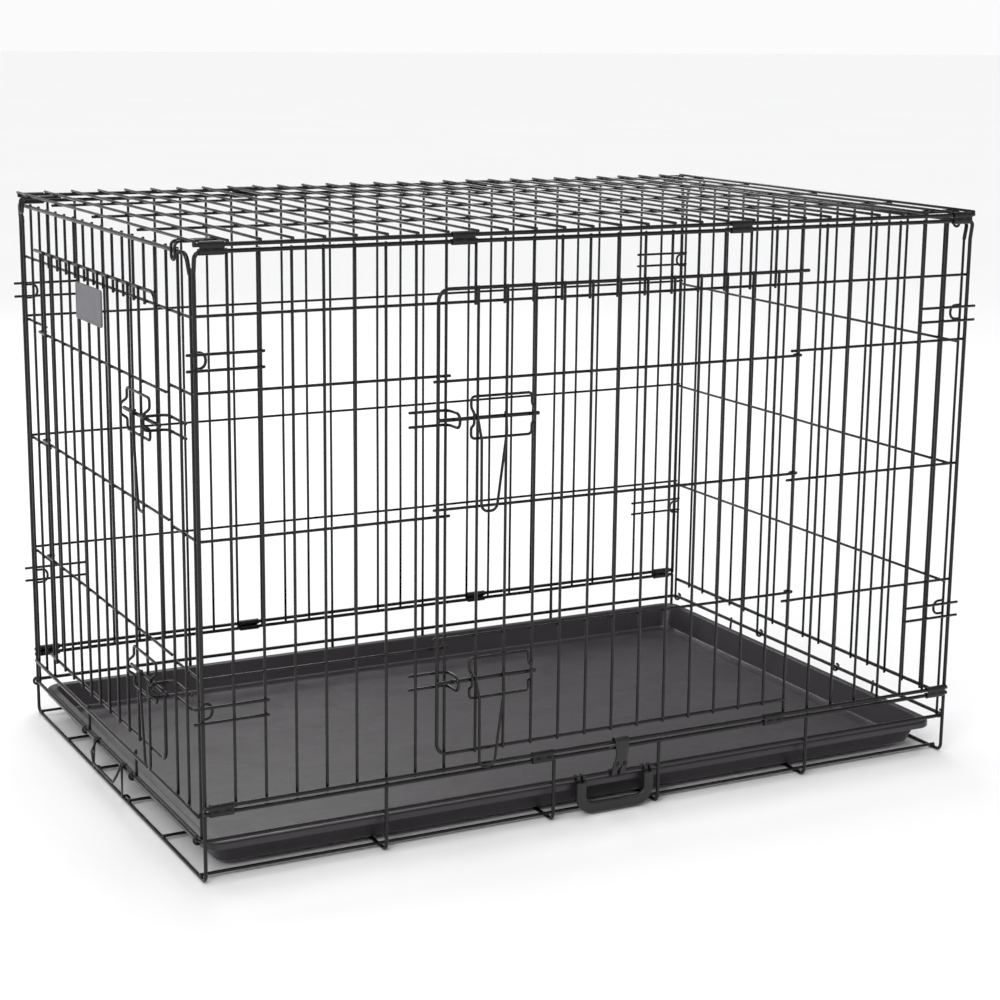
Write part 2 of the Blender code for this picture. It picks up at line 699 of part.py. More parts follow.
def strap_clip(name):
    """A springy plastic strap: snapped round the front base rail, hooked over the panel's rail."""
    over = arc((-OUTER_RAIL_Y, SIDE_LOW_RAIL), STRAP_HOOK_RADIUS, -30.0, 210.0, 6)
    under = arc((-LOOP_Y, LOOP_Z), EYE_RADIUS, 165.0, 230.0, 7)
    outside = -OUTER_RAIL_Y - STRAP_HOOK_RADIUS
    profile = over + [(outside + shift, z) for shift, z in STRAP_NECK] + under
    narrow = STRAP_WIDTH * STRAP_NECK_SHARE
    widths = [STRAP_WIDTH] * len(over) + [narrow] * len(STRAP_NECK) + [STRAP_WIDTH] * len(under)
    body = strip(name, profile, widths, STRAP_THICK, STRAP_X)
    finger_tip = STRAP_X - STRAP_WIDTH / 2 - STRAP_FINGER
    finger_z = SIDE_LOW_RAIL - STRAP_FINGER_DROP
    finger = Wire([(finger_tip, outside, finger_z), (STRAP_X, outside, finger_z)], STRAP_THICK)
    return join(name, [body, wires(name + "_finger", [finger])])


# ---- Assembly -------------------------------------------------------------

def attach(child, parent):
    """Make one piece follow another without moving it."""
    bpy.context.view_layer.update()
    child.parent = parent
    child.matrix_parent_inverse = parent.matrix_world.inverted()


def centre_on_floor(parts):
    """Move the assembly so that its bounding box stands centred on the origin."""
    bpy.context.view_layer.update()
    corners = [item.matrix_world @ vertex.co for item in parts for vertex in item.data.vertices]
    lows = [min(corner[axis] for corner in corners) for axis in range(3)]
    highs = [max(corner[axis] for corner in corners) for axis in range(3)]
    move = Vector(((lows[0] + highs[0]) / -2, (lows[1] + highs[1]) / -2, -lows[2]))
    for item in parts:
        if item.parent is None:
            item.location += move


def main():
    clear_scene()
    steel = make_material("black_coated_steel", (0.012, 0.012, 0.013), 0.35, 0.0)
    crimped = make_material("black_coated_sleeve", (0.015, 0.015, 0.016), 0.42, 0.0)
    pan = make_material("tray_plastic", (0.055, 0.052, 0.06), 0.32, 0.0)
    plastic = make_material("black_plastic", (0.02, 0.02, 0.021), 0.5, 0.0)
    grey = make_material("grey_plastic", (0.22, 0.22, 0.24), 0.45, 0.0)

    front_hinge = on_front(FRONT_DOOR.hinge, 0.0, 0.0)
    end_hinge = on_left(END_DOOR.hinge, 0.0, 0.0)
    left_axis = (-LOOP_X, 0.0, LOOP_Z)
    right_axis = (LOOP_X, 0.0, LOOP_Z)
    front_rail = (0.0, -LOOP_Y, LOOP_Z)
    stop_axis = (-LENGTH / 2, 0.0, FOOT_WIRE / 2)

    parts = [
        finish(base_frame("base_frame"), steel),
        finish(side_panel("front_panel", on_front, True), steel),
        finish(side_panel("rear_panel", on_rear, False), steel),
        finish(top_panel("top_panel"), steel),
        finish(tray("tray"), pan),
        finish(tray_stop("tray_stop"), steel, stop_axis),
        finish(carry_handle("carry_handle"), plastic, front_rail),
        finish(strap_clip("strap_clip"), plastic, front_rail),
        finish(end_panel("right_end", on_right, False), steel, right_axis),
    ]
    left_end = finish(end_panel("left_end", on_left, True), steel, left_axis)
    front_door = finish(door_panel("front_door", FRONT_DOOR), steel, front_hinge)
    end_door = finish(door_panel("end_door", END_DOOR), steel, end_hinge)
    badge = finish(name_plate("name_plate"), grey, end_hinge)
    attach(end_door, left_end)
    attach(badge, end_door)
    parts += [left_end, front_door, end_door, badge]

    for place, door, leaf in (("front", FRONT_DOOR, front_door), ("end", END_DOOR, end_door)):
        for level, height in LATCH_HEIGHTS.items():
            bolt = latch_bolt(f"{place}_bolt_{level}", door, height)
            finish(bolt, steel, door.place(door.tongue, BOLT_N, height))
            attach(bolt, leaf)
            parts.append(bolt)

    rows = (("top_front", TOP_SLEEVES, -OUTER_RAIL_Y, SIDE_HIGH_RAIL, TOP_RAIL_Z),
            ("top_rear", TOP_SLEEVES, OUTER_RAIL_Y, SIDE_HIGH_RAIL, TOP_RAIL_Z),
            ("low_front", FRONT_LOW_SLEEVES, -OUTER_RAIL_Y, OUTER_RAIL_Z, SIDE_LOW_RAIL),
            ("low_rear", REAR_LOW_SLEEVES, OUTER_RAIL_Y, OUTER_RAIL_Z, SIDE_LOW_RAIL))
    for row, pitches, y, low, high in rows:
        for number, pitch in enumerate(pitches, start=1):
            parts.append(finish(sleeve(f"sleeve_{row}_{number}", side_at(pitch), y, low, high), crimped))

    crate = bpy.data.collections.new("wire_dog_crate")
    bpy.context.scene.collection.children.link(crate)
    for item in parts:
        bpy.context.scene.collection.objects.unlink(item)
        crate.objects.link(item)
    centre_on_floor(parts)


main()
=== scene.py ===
import json
import math
from collections import namedtuple

import bmesh
import bpy
from mathutils import Matrix, Quaternion, Vector, noise


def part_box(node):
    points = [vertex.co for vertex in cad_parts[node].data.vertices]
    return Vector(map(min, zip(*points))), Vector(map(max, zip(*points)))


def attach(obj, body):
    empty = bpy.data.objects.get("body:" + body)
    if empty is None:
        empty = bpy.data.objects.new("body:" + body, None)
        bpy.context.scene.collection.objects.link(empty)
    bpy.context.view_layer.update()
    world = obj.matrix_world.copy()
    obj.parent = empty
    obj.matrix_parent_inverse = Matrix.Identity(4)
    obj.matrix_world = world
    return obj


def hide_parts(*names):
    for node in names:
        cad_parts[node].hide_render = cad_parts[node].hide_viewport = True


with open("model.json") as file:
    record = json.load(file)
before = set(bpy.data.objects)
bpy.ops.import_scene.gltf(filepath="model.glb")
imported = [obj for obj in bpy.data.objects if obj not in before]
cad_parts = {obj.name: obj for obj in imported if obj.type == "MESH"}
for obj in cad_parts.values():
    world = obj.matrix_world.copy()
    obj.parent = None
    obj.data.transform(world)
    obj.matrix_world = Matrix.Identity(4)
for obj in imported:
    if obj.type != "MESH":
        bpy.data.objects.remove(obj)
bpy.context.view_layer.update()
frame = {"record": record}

# Looks of the folding wire dog crate. Sizes are in millimetres in the crate's own coordinates, whose
# origin is the middle of the crate on the floor. The tray's CAD box says where that lies in the frame.
# Each panel has its own directions: s along it, n outward from its upright wires, and z up.
MM = 0.001

# Overall sizes
LENGTH = 1064.0
WIDTH = 700.0
PITCH = 38.0
END_PITCH = 39.76
SIDE_COUNT = 29
END_COUNT = 18

# Wire diameters, and how a wire is drawn. A cut end is a list of distances back from the tip, in
# diameters, each with the share of the full radius there.
GRID_WIRE = 3.6
EDGE_WIRE = 5.0
RAIL_WIRE = 5.0
FOOT_WIRE = 4.6
FLOOR_WIRE = 4.0
FRAME_WIRE = 4.4
GUIDE_WIRE = 3.4
BOLT_WIRE = 4.8
STOP_WIRE = 3.2
WIRE_SIDES = 12
CUT_END = ((0.0, 0.55), (0.10, 0.86), (0.26, 1.0))
BOW_SPACING = 55.0
BOW_WAVE = 210.0
BOW = 0.35
BOW_SEED = 5

# Resistance welds: small swollen spots between two crossing wires
WELD_SPREAD = 0.68
WELD_SWELL = 0.35
WELD_REACH = 0.6

# How far each layer of wires lies outside (or inside) its panel's upright wires
RAIL_N = 3.9
CROSS_N = -3.2
CATCH_N = 3.2
DOOR_CROSS_N = 4.2
DOOR_FRAME_N = 4.6
DOOR_UPRIGHT_N = 7.5
GUIDE_N = 10.7
GUIDE_BULGE_N = 18.5
BOLT_N = 13.0
HANDLE_N = 16.8
KEEPER_N = 28.0

# Side panels (front and rear)
SIDE_LOW = 89.0
SIDE_HIGH = 731.0
SIDE_LOW_RAIL = 93.5
SIDE_HIGH_RAIL = 728.0
SIDE_END = LENGTH / 2 + 2.0
SIDE_CORNER = 8.0
LINTEL = 657.0
SIDE_CROSS = (572.0, 405.0, 245.0)
SIDE_DOORWAY = (9, 20)
STUB_OVERHANG = 8.0

# End panels
END_LOW = 76.0
END_HIGH = 728.5
END_LOW_RAIL = 80.0
END_HIGH_RAIL = 725.0
END_SIDE = 341.5
END_CORNER = 8.0
END_LINTEL = 654.0
END_CROSS = (568.0, 403.0, 241.0)
END_DOORWAY = (3, 14)
RING_UPRIGHTS = (0, 6, 11, 17)
RING_RADIUS = 4.8
RING_SWEEP = 265.0
RING_STUB_TOP = 85.0

# Corner catches: pairs of wires on the side panels, loops on the end panels
CATCH_HEIGHTS = ((598.0, 616.0), (195.0, 213.0))
CATCH_INNER = 452.0
CATCH_OUTER = 544.0
CATCH_LOOP_DEPTH = 16.0
CATCH_LOOP_ROOT = 0.6
CATCH_LOOP_CORNER = 8.0

# Base frame
FOOT_UPRIGHTS = (0, 6, 12, 16, 22, 28)
FOOT_TOP = 87.5
FOOT_CORNER = 9.0
OUTER_RAIL_Y = 353.9
OUTER_RAIL_Z = 86.0
LOOP_X = 536.5
LOOP_Y = 345.8
LOOP_Z = 51.0
LOOP_CORNER = 8.0
FLOOR_WIRE_YS = (-334.0, -200.4, -66.8, 66.8, 200.4, 334.0)
FLOOR_WIRE_Z = 6.2
FLOOR_WIRE_END = 534.0
END_STUB_YS = (-184.0, 184.0)
END_STUB_TOP = 54.0
END_STUB_LOW = 1.9
END_STUB_GAP = 1.3

# Top panel
TOP_RAIL_Z = 735.5
TOP_WIRE_Z = 739.4
TOP_LONG_Z = 736.2
TOP_LONG_YS = (-175.0, 0.0, 175.0)
TOP_LONG_END = 538.0
TOP_FRONT_TIP = -356.0
TOP_REAR_TIP = 362.0
TOP_HOOK_Y = 310.0
TOP_HOOK_WIDTH = 12.0
TOP_HOOK_X = 541.0
TOP_HOOK_ROOT = 488.0
TOP_HOOK_LOW = 716.0
TOP_HOOK_CORNER = 5.8

# Hinge sleeves: where they sit, in pitches from the left end
SLEEVE_LENGTH = 29.0
SLEEVE_WALL = 1.1
SLEEVE_BORE = 3.03
SLEEVE_PINCH = 1.7
SLEEVE_WAIST = 1.5
SLEEVE_SEAM = 0.5
SLEEVE_EDGE = 0.35
SLEEVE_STATIONS = 16
SLEEVE_SIDE_PARTS = 8
TOP_SLEEVES = (0.5, 8.5, 18.5, 27.5)
FRONT_LOW_SLEEVES = (0.5, 11.5, 20.5, 27.5)
REAR_LOW_SLEEVES = (0.5, 8.5, 18.5, 27.5)

# Doors and latches, the latches measured from the keeper's tongue along s
LATCH_HEIGHTS = {"upper": 523.0, "lower": 206.0}
KEEPER_HALF = 8.5
KEEPER_CORNER = 8.0
GUIDE_HALF = 25.0
GUIDE_START = 23.0
GUIDE_BULGE = ((GUIDE_N, 12.0), (GUIDE_BULGE_N, 6.5), (GUIDE_BULGE_N, -6.5), (GUIDE_N, -12.0))
GUIDE_CORNER = 5.0
BOLT_START = -20.0
BOLT_END = 112.0
PULL_HOOK_Z = 4.0
PULL_LEFT = ((28.0, PULL_HOOK_Z), (34.0, -26.0), (34.5, -112.0))
PULL_RIGHT = ((54.5, -112.0), (67.0, -18.0), (66.0, PULL_HOOK_Z))
PULL_CORNER = 9.0
DOOR_TIP_OVERHANG = 3.0
DOOR_FRAME_CORNER = 14.0
DOOR_FRAME_GAP = 1.0

# Tray
TRAY_HALF_X = 527.0
TRAY_HALF_Y = 340.0
TRAY_CORNER = 22.0
TRAY_RIM_Z = 43.5
TRAY_LIP_Z = 34.0
TRAY_BOTTOM_Z = 8.5
TRAY_RIM = 9.0
TRAY_SLOPE = 10.0
TRAY_WALL = 2.5
TRAY_SWELL = 0.5
TRAY_SWELL_WAVE = 260.0
TRAY_SWELL_START = 20.0
TRAY_SWELL_REACH = 60.0
TRAY_LIP_RADIUS = 2.4
TRAY_BROW_RADIUS = 2.0
TRAY_HEEL_RADIUS = 5.0
TRAY_CHANNEL = ((16.0, 0.0), (19.0, 0.35), (23.0, 1.1), (27.0, 1.25), (34.0, 1.2))
TRAY_FLOOR_RISE = 1.2
TRAY_FLOOR_INSETS = (75.0, 105.0, 140.0, 180.0, 225.0, 270.0, 315.0)
TRAY_SIDE_PARTS = (26, 16)
TRAY_EDGE = 0.5

# Tray stop, on the left end (s from the middle of the end)
STOP_FEET = (-50.0, 73.0)
STOP_HOOKS = (-68.0, 48.0)
STOP_FOOT_RADIUS = 5.3
STOP_HAIRPIN = 5.0
STOP_PULL_N = 16.5
STOP_PULL_Z = 28.0
STOP_PULL_SLANT = 11.0
STOP_PULL_RISE = 12.0
STOP_PULL_LEAN = 1.5
STOP_PULL_CORNER = 7.0

# Carry handle and strap clip, both on the front base rail (x from the middle)
HANDLE_XS = (-36.5, 61.5)
HANDLE_BAR = 14.0
HANDLE_THICK = 8.0
HANDLE_LOW = 3.0
HANDLE_TOP = 45.0
HANDLE_PLANE_N = -0.5
HANDLE_CORNER = 26.0
HANDLE_EDGE = 2.6
EYE_RADIUS = 4.6
EYE_BAND = 2.7
PRONG_WIDTH = 4.6
PRONG_GAP = 3.8
PRONG_EDGE = 0.6
STRAP_X = 17.0
STRAP_WIDTH = 20.0
STRAP_THICK = 2.6
STRAP_EDGE = 0.7
STRAP_HOOK_RADIUS = 4.7
STRAP_NECK = ((0.0, 87.0), (0.0, 80.0), (1.0, 74.0), (3.0, 68.0), (4.2, 61.0))
STRAP_NECK_SHARES = (0.95, 0.88, 0.84, 0.84, 0.92)
STRAP_SLOT = 4.0
STRAP_FINGER = ((-19.0, -5.0), (-14.0, -3.6), (0.0, -2.0))

# Name plate on the end door
PLATE_Y = 6.0
PLATE_Z = 629.0
PLATE_WIDTH = 105.0
PLATE_HEIGHT = 46.0
PLATE_THICK = 2.4
PLATE_N = 10.9
PLATE_CORNER = 4.0
PLATE_RIM = 3.0
PLATE_RECESS = 0.5

# Dark and light tones of each material
STEEL_TONES = ((0.0035, 0.0032, 0.0035), (0.008, 0.0074, 0.0078))
SLEEVE_TONES = ((0.004, 0.0038, 0.004), (0.009, 0.0085, 0.009))
TRAY_TONES = ((0.019, 0.0155, 0.0185), (0.027, 0.022, 0.0265))
BLACK_TONES = ((0.007, 0.0066, 0.0065), (0.012, 0.0112, 0.011))
GREY_TONES = ((0.115, 0.11, 0.125), (0.135, 0.13, 0.145))
FLOOR_TONES = ((0.86, 0.86, 0.87), (0.89, 0.89, 0.90))

# Floor, lights and camera: the lights in metres, the camera in the crate's own millimetres
FLOOR_HALF = 60.0
SKY_LOW = 0.97
SKY_HIGH = 0.35
SKY_FADE_START = 0.03
SKY_FADE_STOP = 0.3
SUN_SPREAD = math.radians(40.0)
SUNS = (("key", (-2.6, -2.4, 3.4), 1.1), ("top", (0.4, 0.8, 3.6), 1.5))
BOX_AIM = (0.0, 0.0, 0.3)
SOFT_BOXES = (("front", (-2.4, -2.6, 2.2), (1.1, 0.9), 30), ("back", (0.6, 3.2, 2.6), (1.6, 0.8), 30))
CAMERA_PLACE = Vector((-1302.9, -2547.8, 972.8))
CAMERA_AIM = Vector((0.4516, 0.8651, -0.2181))
CAMERA_ROLL = 0.63
CAMERA_LENS = 76.95

Wire = namedtuple("Wire", "points diameter closed", defaults=(False,))
Door = namedtuple("Door", "place hinge uprights frame tips levels top bottom frame_end tongue guide_end")


def crate_corner():
    """Where the crate's own origin lies in the frame, from the tray's CAD box."""
    low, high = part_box("tray")
    return Vector(((low.x + high.x) / 2, (low.y + high.y) / 2, low.z - TRAY_BOTTOM_Z * MM))


ORIGIN = crate_corner()
BODY_OF = {node: body for body, nodes in frame["record"]["behaviour"]["bodies"].items() for node in nodes}


# ---- Places ---------------------------------------------------------------

def on_front(s, n, z):
    return Vector((s, -WIDTH / 2 - n, z))


def on_rear(s, n, z):
    return Vector((s, WIDTH / 2 + n, z))


def on_left(s, n, z):
    return Vector((-LENGTH / 2 - n, s, z))


def on_right(s, n, z):
    return Vector((LENGTH / 2 + n, s, z))


def side_at(pitches):
    """Distance along a side panel of a wire counted from the left end."""
    return PITCH * pitches - LENGTH / 2


def end_at(pitches):
    """Distance along an end panel of a wire counted from the front."""
    return END_PITCH * (pitches - (END_COUNT - 1) / 2)


FRONT_DOOR = Door(place=on_front, hinge=side_at(21), uprights=[side_at(i) for i in range(9, 21)],
                  frame=-240.0, tips=-246.0, levels=(567.0, 415.0, 258.0), top=674.0,
                  bottom=114.0, frame_end=10.0, tongue=-223.0, guide_end=103.0)
END_DOOR = Door(place=on_left, hinge=end_at(15), uprights=[end_at(k) for k in range(4, 15)],
                frame=-231.0, tips=-262.0, levels=(561.0, 413.0, 252.0), top=670.0,
                bottom=112.0, frame_end=10.0, tongue=-243.0, guide_end=107.0)


# ---- Paths ----------------------------------------------------------------

def arc(centre, radius, start, sweep, steps):
    """Points (u, v) round a centre, from a start angle through a sweep, in degrees."""
    points = []
    for step in range(steps + 1):
        angle = math.radians(start + sweep * step / steps)
        points.append((centre[0] + radius * math.cos(angle), centre[1] + radius * math.sin(angle)))
    return points


def rounded(points, radius, steps=7, closed=False):
    """The same path with each corner turned into an arc."""
    corners = [Vector(point) for point in points]
    count = len(corners)
    path = []
    for index, corner in enumerate(corners):
        if not closed and index in (0, count - 1):
            path.append(corner)
            continue
        to_last = corners[index - 1] - corner
        to_next = corners[(index + 1) % count] - corner
        half_angle = to_last.angle(to_next) / 2
        if half_angle > math.radians(88):
            path.append(corner)
            continue
        reach = min(radius / math.tan(half_angle), 0.49 * to_last.length, 0.49 * to_next.length)
        bend = reach * math.tan(half_angle)
        centre = corner + (to_last.normalized() + to_next.normalized()).normalized() * (
            bend / math.sin(half_angle))
        first = corner + to_last.normalized() * reach - centre
        last = corner + to_next.normalized() * reach - centre
        for step in range(steps + 1):
            path.append(centre + first.slerp(last, step / steps).normalized() * bend)
    return path


noise.seed_set(BOW_SEED)


def bow(point):
    """Drawn wire is never quite straight: a smooth sideways drift that neighbours share."""
    return Vector(point) + noise.noise_vector(Vector(point) / BOW_WAVE) * BOW


def divided(points, closed):
    """The path with extra points along its long straight runs, so that they can drift."""
    ends = list(zip(points, points[1:]))
    if closed:
        ends.append((points[-1], points[0]))
    path = []
    for start, stop in ends:
        parts = max(1, round((Vector(stop) - Vector(start)).length / BOW_SPACING))
        path += [Vector(start).lerp(Vector(stop), part / parts) for part in range(parts)]
    if not closed:
        path.append(Vector(points[-1]))
    return path


def cut_ends(points, diameter):
    """(point, share of the radius) pairs, with both ends rounded as sheared wire is."""
    head = (points[1] - points[0]).normalized() * diameter
    tail = (points[-2] - points[-1]).normalized() * diameter
    start = [(points[0] + head * back, share) for back, share in CUT_END]
    stop = [(points[-1] + tail * back, share) for back, share in reversed(CUT_END)]
    return start + [(point, 1.0) for point in points[1:-1]] + stop


# ---- Meshes ---------------------------------------------------------------

def link(name, data):
    item = bpy.data.objects.new(name, data)
    bpy.context.scene.collection.objects.link(item)
    return item


def from_bmesh(name, work):
    """A new object from a bmesh in crate millimetres, set into the frame."""
    bmesh.ops.transform(work, matrix=Matrix.Translation(ORIGIN) @ Matrix.Scale(MM, 4), verts=work.verts)
    mesh = bpy.data.meshes.new(name)
    work.to_mesh(mesh)
    work.free()
    return link(name, mesh)


def applied(item):
    """The object with its modifiers applied."""
    bpy.context.view_layer.update()
    depsgraph = bpy.context.evaluated_depsgraph_get()
    mesh = bpy.data.meshes.new_from_object(item.evaluated_get(depsgraph))
    item.modifiers.clear()
    item.data = mesh
    return item


def add_wires(work, items):
    """Sweep every wire as a round bar into the bmesh, in crate millimetres."""
    curve = bpy.data.curves.new("sweep", "CURVE")
    curve.dimensions = "3D"
    curve.bevel_depth = 1.0
    curve.bevel_resolution = (WIRE_SIDES - 4) // 2
    curve.use_fill_caps = True
    for item in items:
        points = [bow(point) for point in divided(item.points, item.closed)]
        if item.closed:
            pairs = [(point, 1.0) for point in points]
        else:
            pairs = cut_ends(points, item.diameter)
        spline = curve.splines.new("POLY")
        spline.points.add(len(pairs) - 1)
        for target, (point, share) in zip(spline.points, pairs):
            target.co = (*point, 1.0)
            target.radius = item.diameter / 2 * share
        spline.use_cyclic_u = item.closed
    holder = link("sweep", curve)
    bpy.context.view_layer.update()
    mesh = bpy.data.meshes.new_from_object(holder.evaluated_get(bpy.context.evaluated_depsgraph_get()))
    bpy.data.objects.remove(holder)
    swept = bmesh.new()
    swept.from_mesh(mesh)
    bmesh.ops.remove_doubles(swept, verts=swept.verts, dist=0.001)
    swept.to_mesh(mesh)
    swept.free()
    work.from_mesh(mesh)
    bpy.data.meshes.remove(mesh)


def closest(first, second):
    """The closest points of two straight runs, each a pair of points."""
    way = first[1] - first[0]
    other_way = second[1] - second[0]
    across = way.cross(other_way)
    if across.length < 0.2 * way.length * other_way.length:
        return None
    apart = second[0] - first[0]
    share = apart.cross(other_way).dot(across) / across.length_squared
    other_share = apart.cross(way).dot(across) / across.length_squared
    slack = WELD_REACH / way.length
    other_slack = WELD_REACH / other_way.length
    if not (-slack <= share <= 1 + slack and -other_slack <= other_share <= 1 + other_slack):
        return None
    return first[0] + way * share, second[0] + other_way * other_share


def straight_runs(items):
    """(diameter, start, stop) of each long straight part of the wires."""
    runs = []
    for item in items:
        for start, stop in zip(item.points, item.points[1:]):
            if (Vector(stop) - Vector(start)).length > 4 * item.diameter:
                runs.append((item.diameter, Vector(start), Vector(stop)))
    return runs


def add_welds(work, items):
    """A small swollen spot wherever two of the wires touch."""
    runs = straight_runs(items)
    for index, (one, *first) in enumerate(runs):
        for two, *second in runs[index + 1:]:
            found = closest(first, second)
            if found is None:
                continue
            gap = found[1] - found[0]
            if not 0.5 < gap.length < (one + two) / 2:
                continue
            turn = gap.to_track_quat("Z", "Y").to_matrix().to_4x4()
            spread = WELD_SPREAD * min(one, two)
            size = Matrix.Diagonal((spread, spread, gap.length / 2 + WELD_SWELL, 1.0))
            place = Matrix.Translation(bow((found[0] + found[1]) / 2))
            bmesh.ops.create_uvsphere(work, u_segments=8, v_segments=6, radius=1.0,
                                      matrix=place @ turn @ size)


def wirework(name, node, items, welded=True):
    """One welded piece made of round wires, in place of a CAD node."""
    work = bmesh.new()
    add_wires(work, items)
    if welded:
        add_welds(work, items)
    bmesh.ops.recalc_face_normals(work, faces=work.faces)
    item = from_bmesh(name, work)
    return dressed(item, node, COATED_STEEL)


def dressed(item, node, material, sharp=40.0):
    """Give a piece its material and shading and the body of the CAD node that it stands for, and hide that
    node.
    """
    item.data.materials.clear()
    item.data.materials.append(material)
    item.data.shade_smooth()
    item.data.set_sharp_from_angle(angle=math.radians(sharp))
    body = BODY_OF[node]
    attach(item, body)
    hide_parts(node)
    return item


# ---- Materials ------------------------------------------------------------

def start_material(name):
    """A node material with its shader, and object coordinates in metres."""
    material = bpy.data.materials.new(name)
    material.use_nodes = True
    tree = material.node_tree
    shader = tree.nodes["Principled BSDF"]
    coordinates = tree.nodes.new("ShaderNodeTexCoord").outputs["Object"]
    return material, tree, shader, coordinates


def noise_node(tree, coordinates, scale, detail=3.0, roughness=0.5):
    node = tree.nodes.new("ShaderNodeTexNoise")
    node.inputs["Scale"].default_value = scale
    node.inputs["Detail"].default_value = detail
    node.inputs["Roughness"].default_value = roughness
    tree.links.new(coordinates, node.inputs["Vector"])
    return node.outputs["Fac"]


def mapped(tree, value, low, high, lowest=0.35, highest=0.65):
    """A value stretched from one range, by default that of most noise, to another."""
    node = tree.nodes.new("ShaderNodeMapRange")
    node.inputs["From Min"].default_value = lowest
    node.inputs["From Max"].default_value = highest
    node.inputs["To Min"].default_value = low
    node.inputs["To Max"].default_value = high
    tree.links.new(value, node.inputs["Value"])
    return node.outputs["Result"]


def two_tone(tree, share, tones):
    dark, light = tones
    node = tree.nodes.new("ShaderNodeMix")
    node.data_type = "RGBA"
    tree.links.new(share, node.inputs["Factor"])
    node.inputs[6].default_value = (*dark, 1.0)
    node.inputs[7].default_value = (*light, 1.0)
    return node.outputs[2]


def bump(tree, shader, layers):
    """Stack bumps: (height socket, strength, distance in metres) from coarse to fine."""
    normal = None
    for height, strength, distance in layers:
        node = tree.nodes.new("ShaderNodeBump")
        node.inputs["Strength"].default_value = strength
        node.inputs["Distance"].default_value = distance
        tree.links.new(height, node.inputs["Height"])
        if normal is not None:
            tree.links.new(normal, node.inputs["Normal"])
        normal = node.outputs["Normal"]
    tree.links.new(normal, shader.inputs["Normal"])


def coated_steel(name, tones, smooth, rough):
    """Black electro-coat over drawn wire: glossy, slightly uneven, with dull patches."""
    material, tree, shader, coordinates = start_material(name)
    patches = noise_node(tree, coordinates, 38.0, 4.0, 0.6)
    specks = noise_node(tree, coordinates, 900.0, 2.0)
    tree.links.new(two_tone(tree, mapped(tree, patches, 0.0, 1.0), tones), shader.inputs["Base Color"])
    tree.links.new(mapped(tree, patches, smooth, rough), shader.inputs["Roughness"])
    shader.inputs["Specular IOR Level"].default_value = 0.35
    bump(tree, shader, [(patches, 0.2, 0.0005), (specks, 0.15, 0.0001)])
    return material


def tray_material():
    """Dark grey moulded sheet: a fine leather grain, faint flow streaks and rubbed spots."""
    material, tree, shader, coordinates = start_material("tray_plastic_grain")
    grain = tree.nodes.new("ShaderNodeTexVoronoi")
    grain.inputs["Scale"].default_value = 620.0
    tree.links.new(coordinates, grain.inputs["Vector"])
    stretch = tree.nodes.new("ShaderNodeMapping")
    stretch.inputs["Scale"].default_value = (2.0, 14.0, 14.0)
    tree.links.new(coordinates, stretch.inputs["Vector"])
    streaks = noise_node(tree, stretch.outputs["Vector"], 1.6, 5.0, 0.62)
    scuffs = noise_node(tree, coordinates, 24.0, 6.0, 0.7)
    tone = two_tone(tree, mapped(tree, streaks, 0.0, 1.0), TRAY_TONES)
    tree.links.new(tone, shader.inputs["Base Color"])
    tree.links.new(mapped(tree, scuffs, 0.30, 0.44), shader.inputs["Roughness"])
    shader.inputs["Specular IOR Level"].default_value = 0.5
    bump(tree, shader, [(streaks, 0.2, 0.002), (grain.outputs["Distance"], 0.22, 0.00025)])
    return material


def moulded_plastic(name, tones, rough, grain_scale):
    """Injection-moulded plastic with an even spark-eroded grain."""
    material, tree, shader, coordinates = start_material(name)
    tone = noise_node(tree, coordinates, 60.0, 3.0)
    grain = noise_node(tree, coordinates, grain_scale, 2.0)
    tree.links.new(two_tone(tree, mapped(tree, tone, 0.0, 1.0), tones), shader.inputs["Base Color"])
    tree.links.new(mapped(tree, tone, rough - 0.05, rough + 0.06), shader.inputs["Roughness"])
    bump(tree, shader, [(grain, 0.3, 0.0002)])
    return material


COATED_STEEL = coated_steel("coated_steel_wire", STEEL_TONES, 0.16, 0.3)
COATED_SLEEVE = coated_steel("coated_sleeve_sheet", SLEEVE_TONES, 0.24, 0.4)
TRAY_PLASTIC = tray_material()
BLACK_PLASTIC = moulded_plastic("black_plastic_grain", BLACK_TONES, 0.42, 1100.0)
GREY_PLASTIC = moulded_plastic("grey_plastic_grain", GREY_TONES, 0.45, 1300.0)


# ---- Panels ---------------------------------------------------------------

def crossing(place, start, stop, n, z, diameter):
    return Wire([place(start, n, z), place(stop, n, z)], diameter)


def upright(place, s, n, low, high, diameter=GRID_WIRE):
    return Wire([place(s, n, low), place(s, n, high)], diameter)


def keeper(place, tongue, root, middle):
    """A U of wire that stands out of a panel for the bolt to slide through."""
    legs = []
    for side in (1, -1):
        height = middle + side * KEEPER_HALF
        leg = [(root, CROSS_N, height), (tongue, CROSS_N, height), (tongue, KEEPER_N, height)]
        legs.append(leg if side > 0 else leg[::-1])
    path = rounded(legs[0] + legs[1], KEEPER_CORNER)
    return Wire([place(*point) for point in path], GRID_WIRE)


def corner_wire(place, side, low, high, end, corner, diameter):
    """A panel's outermost upright, which bends over at the top into the rail outside the uprights."""
    corners = [(side * end, 0.0, low), (side * end, 0.0, high - 3 * corner),
               (side * end, RAIL_N, high), (side * (end - 3 * corner), RAIL_N, high)]
    return Wire([place(*point) for point in rounded(corners, corner)], diameter)


